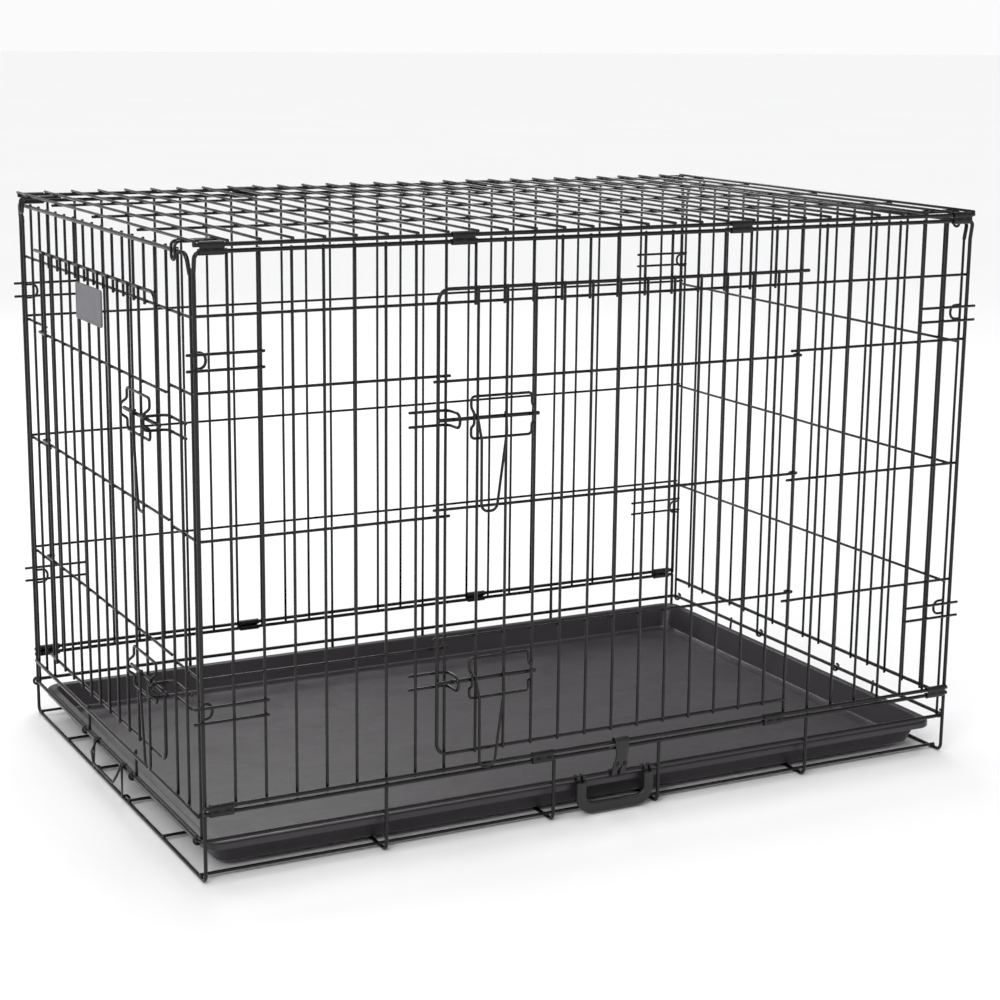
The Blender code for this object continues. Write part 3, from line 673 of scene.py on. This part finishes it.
def side_panel(name, node, place, doorway):
    """A long panel: 29 uprights between two rails, with or without a doorway."""
    first, last = SIDE_DOORWAY
    edge = side_at(SIDE_COUNT - 1)
    reach = edge - 2 * SIDE_CORNER
    items = [crossing(place, -SIDE_END, SIDE_END, RAIL_N, SIDE_LOW_RAIL, RAIL_WIRE),
             crossing(place, -reach, reach, RAIL_N, SIDE_HIGH_RAIL, RAIL_WIRE)]
    for side in (-1, 1):
        items.append(corner_wire(place, side, SIDE_LOW, SIDE_HIGH_RAIL, edge, SIDE_CORNER, EDGE_WIRE))
    for index in range(1, SIDE_COUNT - 1):
        cut = doorway and first <= index <= last
        items.append(upright(place, side_at(index), 0.0, LINTEL - GRID_WIRE if cut else SIDE_LOW, SIDE_HIGH))
    for z in SIDE_CROSS:
        if doorway:
            left = side_at(first - 1) + STUB_OVERHANG
            right = side_at(last + 1) - STUB_OVERHANG
            items.append(crossing(place, -SIDE_END, left, CROSS_N, z, GRID_WIRE))
            items.append(crossing(place, right, SIDE_END, CROSS_N, z, GRID_WIRE))
        else:
            items.append(crossing(place, -SIDE_END, SIDE_END, CROSS_N, z, GRID_WIRE))
    for pair in CATCH_HEIGHTS:
        for z in pair:
            for inner, outer in ((-CATCH_INNER, -CATCH_OUTER), (CATCH_INNER, CATCH_OUTER)):
                items.append(crossing(place, inner, outer, CATCH_N, z, GRID_WIRE))
    if doorway:
        items.append(crossing(place, -SIDE_END, SIDE_END, CROSS_N, LINTEL, GRID_WIRE))
        root = side_at(first - 2) - STUB_OVERHANG
        for middle in LATCH_HEIGHTS.values():
            items.append(keeper(place, FRONT_DOOR.tongue, root, middle))
    return wirework(name, node, items)


def ring_foot(place, s, high):
    """An upright whose lower end curls round the base frame's end rail."""
    centre = (LOOP_X - LENGTH / 2, LOOP_Z)
    curl = arc(centre, RING_RADIUS, 180.0, RING_SWEEP, 20)
    points = [place(s, 0.0, high), place(s, 0.0, LOOP_Z + 2 * RING_RADIUS)]
    points += [place(s, n, z) for n, z in curl]
    return Wire(points, GRID_WIRE)


def catch_loop(place, s, low, high):
    """A U of wire that stands inward from an end panel's outermost upright."""
    corners = [(s, CATCH_LOOP_ROOT, high), (s, -CATCH_LOOP_DEPTH, high),
               (s, -CATCH_LOOP_DEPTH, low), (s, CATCH_LOOP_ROOT, low)]
    return Wire([place(*point) for point in rounded(corners, CATCH_LOOP_CORNER)], GUIDE_WIRE)


def end_panel(name, node, place, doorway):
    """An end panel: 18 uprights, four of them ending in rings round the base's end rail."""
    first, last = END_DOORWAY
    edge = end_at(END_COUNT - 1)
    reach = edge - 2 * END_CORNER
    items = [crossing(place, -END_SIDE, END_SIDE, RAIL_N, END_LOW_RAIL, RAIL_WIRE),
             crossing(place, -reach, reach, RAIL_N, END_HIGH_RAIL, RAIL_WIRE)]
    for side in (-1, 1):
        corners = [(side * edge, 0.0, END_HIGH_RAIL - 3 * END_CORNER), (side * edge, RAIL_N, END_HIGH_RAIL),
                   (side * (edge - 3 * END_CORNER), RAIL_N, END_HIGH_RAIL)]
        items.append(Wire([place(*point) for point in rounded(corners, END_CORNER)], RAIL_WIRE))
    for index in range(END_COUNT):
        s = end_at(index)
        outermost = index in (0, END_COUNT - 1)
        high = END_HIGH_RAIL - 2 * END_CORNER if outermost else END_HIGH
        cut = doorway and first <= index <= last
        if cut:
            items.append(upright(place, s, 0.0, END_LINTEL - GRID_WIRE, END_HIGH))
        if index in RING_UPRIGHTS:
            items.append(ring_foot(place, s, RING_STUB_TOP if cut else high))
        elif not cut:
            items.append(upright(place, s, 0.0, END_LOW, high))
    for z in END_CROSS:
        if doorway:
            front = end_at(first - 1) + STUB_OVERHANG
            rear = end_at(last + 1) - STUB_OVERHANG
            items.append(crossing(place, -END_SIDE, front, CROSS_N, z, GRID_WIRE))
            items.append(crossing(place, rear, END_SIDE, CROSS_N, z, GRID_WIRE))
        else:
            items.append(crossing(place, -END_SIDE, END_SIDE, CROSS_N, z, GRID_WIRE))
    for low, high in CATCH_HEIGHTS:
        for s in (-edge, edge):
            items.append(catch_loop(place, s, low, high))
    if doorway:
        items.append(crossing(place, -END_SIDE, END_SIDE, CROSS_N, END_LINTEL, GRID_WIRE))
        root = end_at(first - 2) - STUB_OVERHANG
        for middle in LATCH_HEIGHTS.values():
            items.append(keeper(place, END_DOOR.tongue, root, middle))
    return wirework(name, node, items)


def top_hook(end, y):
    """A doubled wire that reaches over an end panel's top rail and hangs down outside it."""
    half = TOP_HOOK_WIDTH / 2
    corners = [(TOP_HOOK_ROOT, y - half, TOP_LONG_Z), (TOP_HOOK_X, y - half, TOP_LONG_Z),
               (TOP_HOOK_X, y - half, TOP_HOOK_LOW), (TOP_HOOK_X, y + half, TOP_HOOK_LOW),
               (TOP_HOOK_X, y + half, TOP_LONG_Z), (TOP_HOOK_ROOT, y + half, TOP_LONG_Z)]
    path = rounded(corners, TOP_HOOK_CORNER)
    return Wire([(end * x, across, z) for x, across, z in path], GRID_WIRE)


def top_panel():
    """The roof: 29 wires across, over two rails and three long wires."""
    items = []
    for index in range(SIDE_COUNT):
        x = side_at(index)
        items.append(Wire([(x, TOP_FRONT_TIP, TOP_WIRE_Z), (x, TOP_REAR_TIP, TOP_WIRE_Z)], GRID_WIRE))
    for y in (-OUTER_RAIL_Y, OUTER_RAIL_Y):
        items.append(Wire([(-SIDE_END, y, TOP_RAIL_Z), (SIDE_END, y, TOP_RAIL_Z)], RAIL_WIRE))
    for y in TOP_LONG_YS:
        items.append(Wire([(-TOP_LONG_END, y, TOP_LONG_Z), (TOP_LONG_END, y, TOP_LONG_Z)], GRID_WIRE))
    for end in (-1, 1):
        for y in (-TOP_HOOK_Y, TOP_HOOK_Y):
            items.append(top_hook(end, y))
    return wirework("top_panel_wires", "top_panel", items)


def base_frame():
    """The floor frame: six U wires, two rail levels, floor wires and two stubs at the right end."""
    foot_z = FOOT_WIRE / 2
    items = []
    for index in FOOT_UPRIGHTS:
        x = side_at(index)
        corners = [(x, -WIDTH / 2, FOOT_TOP), (x, -WIDTH / 2, foot_z),
                   (x, WIDTH / 2, foot_z), (x, WIDTH / 2, FOOT_TOP)]
        items.append(Wire(rounded(corners, FOOT_CORNER), FOOT_WIRE))
    ring = [(-LOOP_X, -LOOP_Y, LOOP_Z), (LOOP_X, -LOOP_Y, LOOP_Z),
            (LOOP_X, LOOP_Y, LOOP_Z), (-LOOP_X, LOOP_Y, LOOP_Z)]
    items.append(Wire(rounded(ring, LOOP_CORNER, closed=True), RAIL_WIRE, True))
    for y in (-OUTER_RAIL_Y, OUTER_RAIL_Y):
        items.append(Wire([(-SIDE_END, y, OUTER_RAIL_Z), (SIDE_END, y, OUTER_RAIL_Z)], RAIL_WIRE))
    for y in FLOOR_WIRE_YS:
        ends = [(-FLOOR_WIRE_END, y, FLOOR_WIRE_Z), (FLOOR_WIRE_END, y, FLOOR_WIRE_Z)]
        items.append(Wire(ends, FLOOR_WIRE))
    for y in END_STUB_YS:
        top = (LOOP_X + RAIL_WIRE / 2 + END_STUB_GAP, y, END_STUB_TOP)
        low = (LENGTH / 2 + FOOT_WIRE / 2 + END_STUB_GAP, y, END_STUB_LOW)
        items.append(Wire([top, low], GRID_WIRE))
    return wirework("base_frame_wires", "base_frame", items)


# ---- Doors and latches ----------------------------------------------------

def door_crossing(door, z):
    """A door's cross wire, curled round the hinge upright at one end."""
    curl = arc((door.hinge, 0.0), DOOR_CROSS_N, 90.0, -285.0, 22)
    path = [(door.tips, DOOR_CROSS_N)] + curl
    return Wire([door.place(s, n, z) for s, n in path], GRID_WIRE)


def guide(door, middle):
    """A wire frame whose short sides bulge outward to hold a bolt."""
    start = door.tongue + GUIDE_START
    stop = door.tongue + door.guide_end
    corners = [(start, GUIDE_N, GUIDE_HALF), (stop, GUIDE_N, GUIDE_HALF)]
    corners += [(stop, n, z) for n, z in GUIDE_BULGE]
    corners += [(stop, GUIDE_N, -GUIDE_HALF), (start, GUIDE_N, -GUIDE_HALF)]
    corners += [(start, n, z) for n, z in reversed(GUIDE_BULGE)]
    path = rounded(corners, GUIDE_CORNER, 5, closed=True)
    return Wire([door.place(s, n, z + middle) for s, n, z in path], GUIDE_WIRE, True)


def door_panel(name, node, door):
    """A door: upright wires, three cross wires that form the hinge, a C-shaped outer wire."""
    low = door.bottom - DOOR_TIP_OVERHANG
    high = door.top + DOOR_TIP_OVERHANG
    items = [upright(door.place, s, DOOR_UPRIGHT_N, low, high) for s in door.uprights]
    items += [door_crossing(door, z) for z in door.levels]
    corners = [(door.hinge + door.frame_end, DOOR_FRAME_N, door.top), (door.frame, DOOR_FRAME_N, door.top),
               (door.frame, DOOR_FRAME_N, door.bottom),
               (door.hinge - DOOR_FRAME_GAP, DOOR_FRAME_N, door.bottom)]
    path = rounded(corners, DOOR_FRAME_CORNER)
    items.append(Wire([door.place(*point) for point in path], FRAME_WIRE))
    items += [guide(door, middle) for middle in LATCH_HEIGHTS.values()]
    return wirework(name, node, items)


def latch_bolt(node, door, middle):
    """A sliding bolt with a V of wire that hooks over it and hangs down as its handle."""
    def at(s, n, z):
        return door.place(door.tongue + s, n, middle + z)

    shaft = Wire([at(BOLT_START, BOLT_N, 0.0), at(BOLT_END, BOLT_N, 0.0)], BOLT_WIRE)
    corners = [(PULL_LEFT[0][0], BOLT_N, PULL_HOOK_Z)]
    corners += [(s, HANDLE_N, z) for s, z in PULL_LEFT + PULL_RIGHT]
    corners += [(PULL_RIGHT[-1][0], BOLT_N, PULL_HOOK_Z)]
    pull = Wire([at(*point) for point in rounded(corners, PULL_CORNER)], GUIDE_WIRE)
    return wirework(node + "_wires", node, [shaft, pull], welded=False)


def tray_stop():
    """A wire bail: two feet over the base's end wire, two hairpin hooks over its end rail, a pull."""
    foot = arc((0.0, FOOT_WIRE / 2), STOP_FOOT_RADIUS, 180.0, -140.0, 12)
    hook = arc((LOOP_X - LENGTH / 2, LOOP_Z), RING_RADIUS, 0.0, 110.0, 8)
    front_foot, rear_foot = STOP_FEET
    front_hook, rear_hook = STOP_HOOKS
    front_leg = front_hook + STOP_HAIRPIN
    rear_leg = rear_hook - STOP_HAIRPIN
    path = [(front_foot, n, z) for n, z in foot]
    path += [(front_hook, n, z) for n, z in hook]
    path += [(front_leg, n, z) for n, z in reversed(hook)]
    path += rounded([(front_leg, STOP_PULL_N - STOP_PULL_LEAN, STOP_PULL_Z + STOP_PULL_RISE),
                     (front_leg + STOP_PULL_SLANT, STOP_PULL_N, STOP_PULL_Z),
                     (rear_leg - STOP_PULL_SLANT, STOP_PULL_N, STOP_PULL_Z),
                     (rear_leg, STOP_PULL_N - STOP_PULL_LEAN, STOP_PULL_Z + STOP_PULL_RISE)],
                    STOP_PULL_CORNER)
    path += [(rear_leg, n, z) for n, z in hook]
    path += [(rear_hook, n, z) for n, z in reversed(hook)]
    path += [(rear_foot, n, z) for n, z in reversed(foot)]
    item = Wire([on_left(*point) for point in path], STOP_WIRE)
    return wirework("tray_stop_wire", "tray_stop", [item], welded=False)


# ---- Sheet and plastic pieces ----------------------------------------------

def grid_faces(work, rows, closed):
    """Quads between neighbouring rows of points; closed rows meet their own start."""
    rings = [[work.verts.new(point) for point in row] for row in rows]
    for ring, following in zip(rings, rings[1:]):
        for index in range(len(ring) if closed else len(ring) - 1):
            after = (index + 1) % len(ring)
            work.faces.new((ring[index], ring[after], following[after], following[index]))
    return rings


def shelled(item, thickness, bevel=0.0):
    """Sheet thickness on both sides of the surface, with softened edges."""
    shell = item.modifiers.new("Thickness", "SOLIDIFY")
    shell.thickness = thickness * MM
    shell.offset = 0.0
    shell.use_even_offset = True
    if bevel:
        edge = item.modifiers.new("Edges", "BEVEL")
        edge.width = bevel * MM
        edge.segments = 3
        edge.limit_method = "ANGLE"
        edge.angle_limit = math.radians(50)
    return applied(item)


def sleeve(node, x, y, low, high):
    """A band of sheet steel pinched between two parallel rails, with its seam at the back."""
    radius = SLEEVE_BORE + SLEEVE_WALL / 2
    middle = (low + high) / 2
    side = 1.0 if y > 0 else -1.0
    sides = [high - (high - low) * part / SLEEVE_SIDE_PARTS for part in range(1, SLEEVE_SIDE_PARTS)]
    profile = [(-radius, z) for z in reversed(sides) if z > middle + SLEEVE_SEAM]
    profile += arc((0.0, high), radius, 180.0, -180.0, 12)
    profile += [(radius, z) for z in sides]
    profile += arc((0.0, low), radius, 0.0, -180.0, 12)
    profile += [(-radius, z) for z in reversed(sides) if z < middle - SLEEVE_SEAM]
    work = bmesh.new()
    rows = []
    for station in range(SLEEVE_STATIONS + 1):
        along = station / SLEEVE_STATIONS
        crimp = SLEEVE_PINCH * (0.6 - 0.4 * math.cos(4 * math.pi * along))
        row = []
        for out, z in profile:
            squeeze = crimp * math.exp(-((z - middle) / SLEEVE_WAIST) ** 2)
            reach = out - math.copysign(squeeze, out)
            row.append(Vector((x + (along - 0.5) * SLEEVE_LENGTH, y + side * reach, z)))
        rows.append(row)
    grid_faces(work, rows, closed=False)
    bmesh.ops.recalc_face_normals(work, faces=work.faces)
    item = shelled(from_bmesh(node + "_band", work), SLEEVE_WALL, SLEEVE_EDGE)
    return dressed(item, node, COATED_SLEEVE)


def tray_ring(inset, z, corner_steps=9):
    """A rounded rectangle at one level of the tray, with points along its straight sides."""
    half_x = TRAY_HALF_X - inset
    half_y = TRAY_HALF_Y - inset
    radius = max(TRAY_CORNER - 0.25 * inset, 6.0)
    corners = [(-half_x, -half_y, z), (half_x, -half_y, z), (half_x, half_y, z), (-half_x, half_y, z)]
    bends = rounded(corners, radius, corner_steps, closed=True)
    ring = []
    per_corner = corner_steps + 1
    for corner in range(4):
        bend = bends[corner * per_corner:(corner + 1) * per_corner]
        after = bends[(corner + 1) * per_corner % len(bends)]
        parts = TRAY_SIDE_PARTS[corner % 2]
        ring += bend + [bend[-1].lerp(after, part / parts) for part in range(1, parts)]
    return ring


def tray():
    """The floor pan: a rolled lip, a flat rim, sloping walls and a shallow channel round the floor."""
    edge = TRAY_WALL / 2
    top = TRAY_RIM_Z - edge
    bottom = TRAY_BOTTOM_Z + edge
    inner = TRAY_RIM + TRAY_WALL
    foot = inner + TRAY_SLOPE
    lip = arc((edge + TRAY_LIP_RADIUS, top - TRAY_LIP_RADIUS), TRAY_LIP_RADIUS, 180.0, -90.0, 5)
    brow = arc((inner - TRAY_BROW_RADIUS, top - TRAY_BROW_RADIUS), TRAY_BROW_RADIUS, 90.0, -65.0, 4)
    heel = arc((foot + TRAY_HEEL_RADIUS, bottom + TRAY_HEEL_RADIUS), TRAY_HEEL_RADIUS, 205.0, 65.0, 5)
    levels = [(edge, TRAY_LIP_Z), (edge, TRAY_LIP_Z + 3.0)] + lip + brow + heel
    levels += [(foot + inset, bottom + rise) for inset, rise in TRAY_CHANNEL]
    levels += [(inset, bottom + TRAY_FLOOR_RISE) for inset in TRAY_FLOOR_INSETS]
    work = bmesh.new()
    rows = []
    for inset, z in levels:
        row = tray_ring(inset, z)
        if inset > foot + TRAY_SWELL_START:
            swell = TRAY_SWELL * min(1.0, (inset - foot - TRAY_SWELL_START) / TRAY_SWELL_REACH)
            row = [point + Vector((0, 0, noise.noise(point / TRAY_SWELL_WAVE) * swell)) for point in row]
        rows.append(row)
    rings = grid_faces(work, rows, closed=True)
    work.faces.new(rings[-1])
    bmesh.ops.recalc_face_normals(work, faces=work.faces)
    item = shelled(from_bmesh("tray_pan", work), TRAY_WALL, TRAY_EDGE)
    return dressed(item, "tray", TRAY_PLASTIC)


def bar_sweep(work, path, width, thickness, corner):
    """A bar with a rounded rectangular section along a path in the x-z plane of the front."""
    half_w = width / 2
    half_t = thickness / 2
    corners = [(-half_w, -half_t, 0), (half_w, -half_t, 0), (half_w, half_t, 0), (-half_w, half_t, 0)]
    section = rounded(corners, corner, 4, closed=True)
    rows = []
    for index, point in enumerate(path):
        before = path[max(index - 1, 0)]
        after = path[min(index + 1, len(path) - 1)]
        forward = (after - before).normalized()
        across = Vector((forward.z, 0.0, -forward.x))
        rows.append([point + across * place.x + Vector((0.0, place.y, 0.0)) for place in section])
    rings = grid_faces(work, rows, closed=True)
    work.faces.new(rings[0])
    work.faces.new(rings[-1])


def band(name, profile, widths, thickness, x, bevel):
    """A bent strip of plastic: a profile of (y, z) points, each with its width along x."""
    work = bmesh.new()
    rows = [[Vector((x + share * width, y, z)) for share in (-0.5, -0.17, 0.17, 0.5)]
            for (y, z), width in zip(profile, widths)]
    grid_faces(work, rows, closed=False)
    bmesh.ops.recalc_face_normals(work, faces=work.faces)
    return shelled(from_bmesh(name, work), thickness, bevel)


def merged(name, items):
    """Several meshes as one object."""
    work = bmesh.new()
    for item in items:
        work.from_mesh(item.data)
        bpy.data.objects.remove(item)
    mesh = bpy.data.meshes.new(name)
    work.to_mesh(mesh)
    work.free()
    return link(name, mesh)


def carry_handle():
    """A thick U with rounded corners, hung from the front base rail by two forked snap-on eyes."""
    left, right = HANDLE_XS
    middle = HANDLE_LOW + HANDLE_BAR / 2
    y = on_front(0.0, HANDLE_PLANE_N, 0.0).y
    corners = [(left, y, HANDLE_TOP), (left, y, middle), (right, y, middle), (right, y, HANDLE_TOP)]
    path = rounded(corners, HANDLE_CORNER - HANDLE_BAR / 2, 12)
    work = bmesh.new()
    bar_sweep(work, path, HANDLE_BAR, HANDLE_THICK, HANDLE_EDGE)
    bmesh.ops.recalc_face_normals(work, faces=work.faces)
    parts = [from_bmesh("bow", work)]
    eye = arc((-LOOP_Y, LOOP_Z), EYE_RADIUS, 150.0, 240.0, 18)
    shift = (PRONG_WIDTH + PRONG_GAP) / 2
    for x in HANDLE_XS:
        for side in (-1, 1):
            widths = [PRONG_WIDTH] * len(eye)
            parts.append(band("prong", eye, widths, EYE_BAND, x + side * shift, PRONG_EDGE))
    item = merged("carry_handle_moulding", parts)
    return dressed(item, "carry_handle", BLACK_PLASTIC)


def strap_clip():
    """A springy strap: forked where it snaps round the base rail, hooked over the panel's rail."""
    over = arc((-OUTER_RAIL_Y, SIDE_LOW_RAIL), STRAP_HOOK_RADIUS, -30.0, 210.0, 16)
    under = arc((-LOOP_Y, LOOP_Z), EYE_RADIUS, 165.0, 230.0, 16)
    outside = -OUTER_RAIL_Y - STRAP_HOOK_RADIUS
    neck = [(outside + inward, z) for inward, z in STRAP_NECK]
    widths = [STRAP_WIDTH] * len(over) + [share * STRAP_WIDTH for share in STRAP_NECK_SHARES]
    parts = [band("strap", over + neck, widths, STRAP_THICK, STRAP_X, STRAP_EDGE)]
    prong = (STRAP_WIDTH - STRAP_SLOT) / 2
    bottom = neck[-2:] + under
    for side in (-1, 1):
        x = STRAP_X + side * (prong + STRAP_SLOT) / 2
        parts.append(band("prong", bottom, [prong] * len(bottom), STRAP_THICK, x, STRAP_EDGE))
    finger = [(STRAP_X + x, outside, SIDE_LOW_RAIL + z) for x, z in STRAP_FINGER]
    work = bmesh.new()
    add_wires(work, [Wire(finger, STRAP_THICK)])
    parts.append(from_bmesh("finger", work))
    item = merged("strap_clip_moulding", parts)
    return dressed(item, "strap_clip", BLACK_PLASTIC)


def name_plate():
    """A blank plate with a raised rim round a slightly sunk field."""
    def outline(inset, depth):
        half_w = PLATE_WIDTH / 2 - inset
        half_h = PLATE_HEIGHT / 2 - inset
        corners = [(-half_w, -half_h), (half_w, -half_h), (half_w, half_h), (-half_w, half_h)]
        points = rounded([(PLATE_Y + s, z + PLATE_Z, 0.0) for s, z in corners],
                         max(PLATE_CORNER - inset, 1.0), 6, closed=True)
        return [on_left(point.x, PLATE_N + depth, point.y) for point in points]

    half = PLATE_THICK / 2
    levels = [(0.5, -half), (0.0, -half + 0.5), (0.0, half - 0.6), (0.2, half - 0.2), (0.7, half),
              (PLATE_RIM - 0.6, half), (PLATE_RIM, half - 0.2), (PLATE_RIM + 0.3, half - PLATE_RECESS)]
    work = bmesh.new()
    rings = grid_faces(work, [outline(inset, depth) for inset, depth in levels], closed=True)
    work.faces.new(rings[0])
    work.faces.new(rings[-1])
    bmesh.ops.recalc_face_normals(work, faces=work.faces)
    item = from_bmesh("name_plate_blank", work)
    return dressed(item, "name_plate", GREY_PLASTIC, sharp=35.0)


# ---- The crate ------------------------------------------------------------

def build_crate():
    base_frame()
    side_panel("front_panel_wires", "front_panel", on_front, True)
    side_panel("rear_panel_wires", "rear_panel", on_rear, False)
    end_panel("left_end_wires", "left_end", on_left, True)
    end_panel("right_end_wires", "right_end", on_right, False)
    top_panel()
    door_panel("front_door_wires", "front_door", FRONT_DOOR)
    door_panel("end_door_wires", "end_door", END_DOOR)
    for place, door in (("front", FRONT_DOOR), ("end", END_DOOR)):
        for level, height in LATCH_HEIGHTS.items():
            latch_bolt(f"{place}_bolt_{level}", door, height)
    tray_stop()
    tray()
    rows = (("top_front", TOP_SLEEVES, -OUTER_RAIL_Y, SIDE_HIGH_RAIL, TOP_RAIL_Z),
            ("top_rear", TOP_SLEEVES, OUTER_RAIL_Y, SIDE_HIGH_RAIL, TOP_RAIL_Z),
            ("low_front", FRONT_LOW_SLEEVES, -OUTER_RAIL_Y, OUTER_RAIL_Z, SIDE_LOW_RAIL),
            ("low_rear", REAR_LOW_SLEEVES, OUTER_RAIL_Y, OUTER_RAIL_Z, SIDE_LOW_RAIL))
    for row, pitches, y, low, high in rows:
        for number, pitch in enumerate(pitches, start=1):
            sleeve(f"sleeve_{row}_{number}", side_at(pitch), y, low, high)
    carry_handle()
    strap_clip()
    name_plate()


# ---- Floor, light and camera ----------------------------------------------

def floor():
    """A plain pale floor."""
    work = bmesh.new()
    bmesh.ops.create_grid(work, x_segments=1, y_segments=1, size=FLOOR_HALF)
    mesh = bpy.data.meshes.new("floor")
    work.to_mesh(mesh)
    work.free()
    item = link("floor", mesh)
    material, tree, shader, coordinates = start_material("pale_floor")
    tone = noise_node(tree, coordinates, 0.8, 2.0)
    tree.links.new(two_tone(tree, tone, FLOOR_TONES), shader.inputs["Base Color"])
    shader.inputs["Roughness"].default_value = 0.9
    item.data.materials.append(material)


def soft_sun(name, toward, strength):
    """A broad, even light that reaches the whole floor alike."""
    data = bpy.data.lights.new(name, "SUN")
    data.energy = strength
    data.angle = SUN_SPREAD
    item = link(name, data)
    item.rotation_euler = Vector(toward).to_track_quat("Z", "Y").to_euler()


def soft_box(name, place, size, power):
    """A rectangular lamp aimed at the crate."""
    data = bpy.data.lights.new(name, "AREA")
    data.shape = "RECTANGLE"
    data.size = size[0]
    data.size_y = size[1]
    data.energy = power
    item = link(name, data)
    item.location = place
    item.rotation_euler = (Vector(BOX_AIM) - Vector(place)).to_track_quat("-Z", "Y").to_euler()


def studio():
    """White surroundings, brightest round the horizon, with two broad suns and two soft boxes."""
    world = bpy.data.worlds.new("studio")
    world.use_nodes = True
    tree = world.node_tree
    direction = tree.nodes.new("ShaderNodeTexCoord").outputs["Generated"]
    split = tree.nodes.new("ShaderNodeSeparateXYZ")
    tree.links.new(direction, split.inputs["Vector"])
    fade = mapped(tree, split.outputs["Z"], SKY_LOW, SKY_HIGH, SKY_FADE_START, SKY_FADE_STOP)
    background = tree.nodes["Background"]
    background.inputs["Color"].default_value = (1.0, 1.0, 1.0, 1.0)
    tree.links.new(fade, background.inputs["Strength"])
    bpy.context.scene.world = world
    bpy.context.scene.view_settings.view_transform = "Standard"
    for sun in SUNS:
        soft_sun(*sun)
    for box in SOFT_BOXES:
        soft_box(*box)


def camera():
    """The photograph's viewing angle."""
    data = bpy.data.cameras.new("camera")
    data.lens = CAMERA_LENS
    item = link("camera", data)
    item.location = CAMERA_PLACE * MM + ORIGIN
    roll = Quaternion((0.0, 0.0, 1.0), math.radians(CAMERA_ROLL))
    item.rotation_euler = (CAMERA_AIM.to_track_quat("-Z", "Y") @ roll).to_euler()
    bpy.context.scene.camera = item


build_crate()
floor()
studio()
camera()
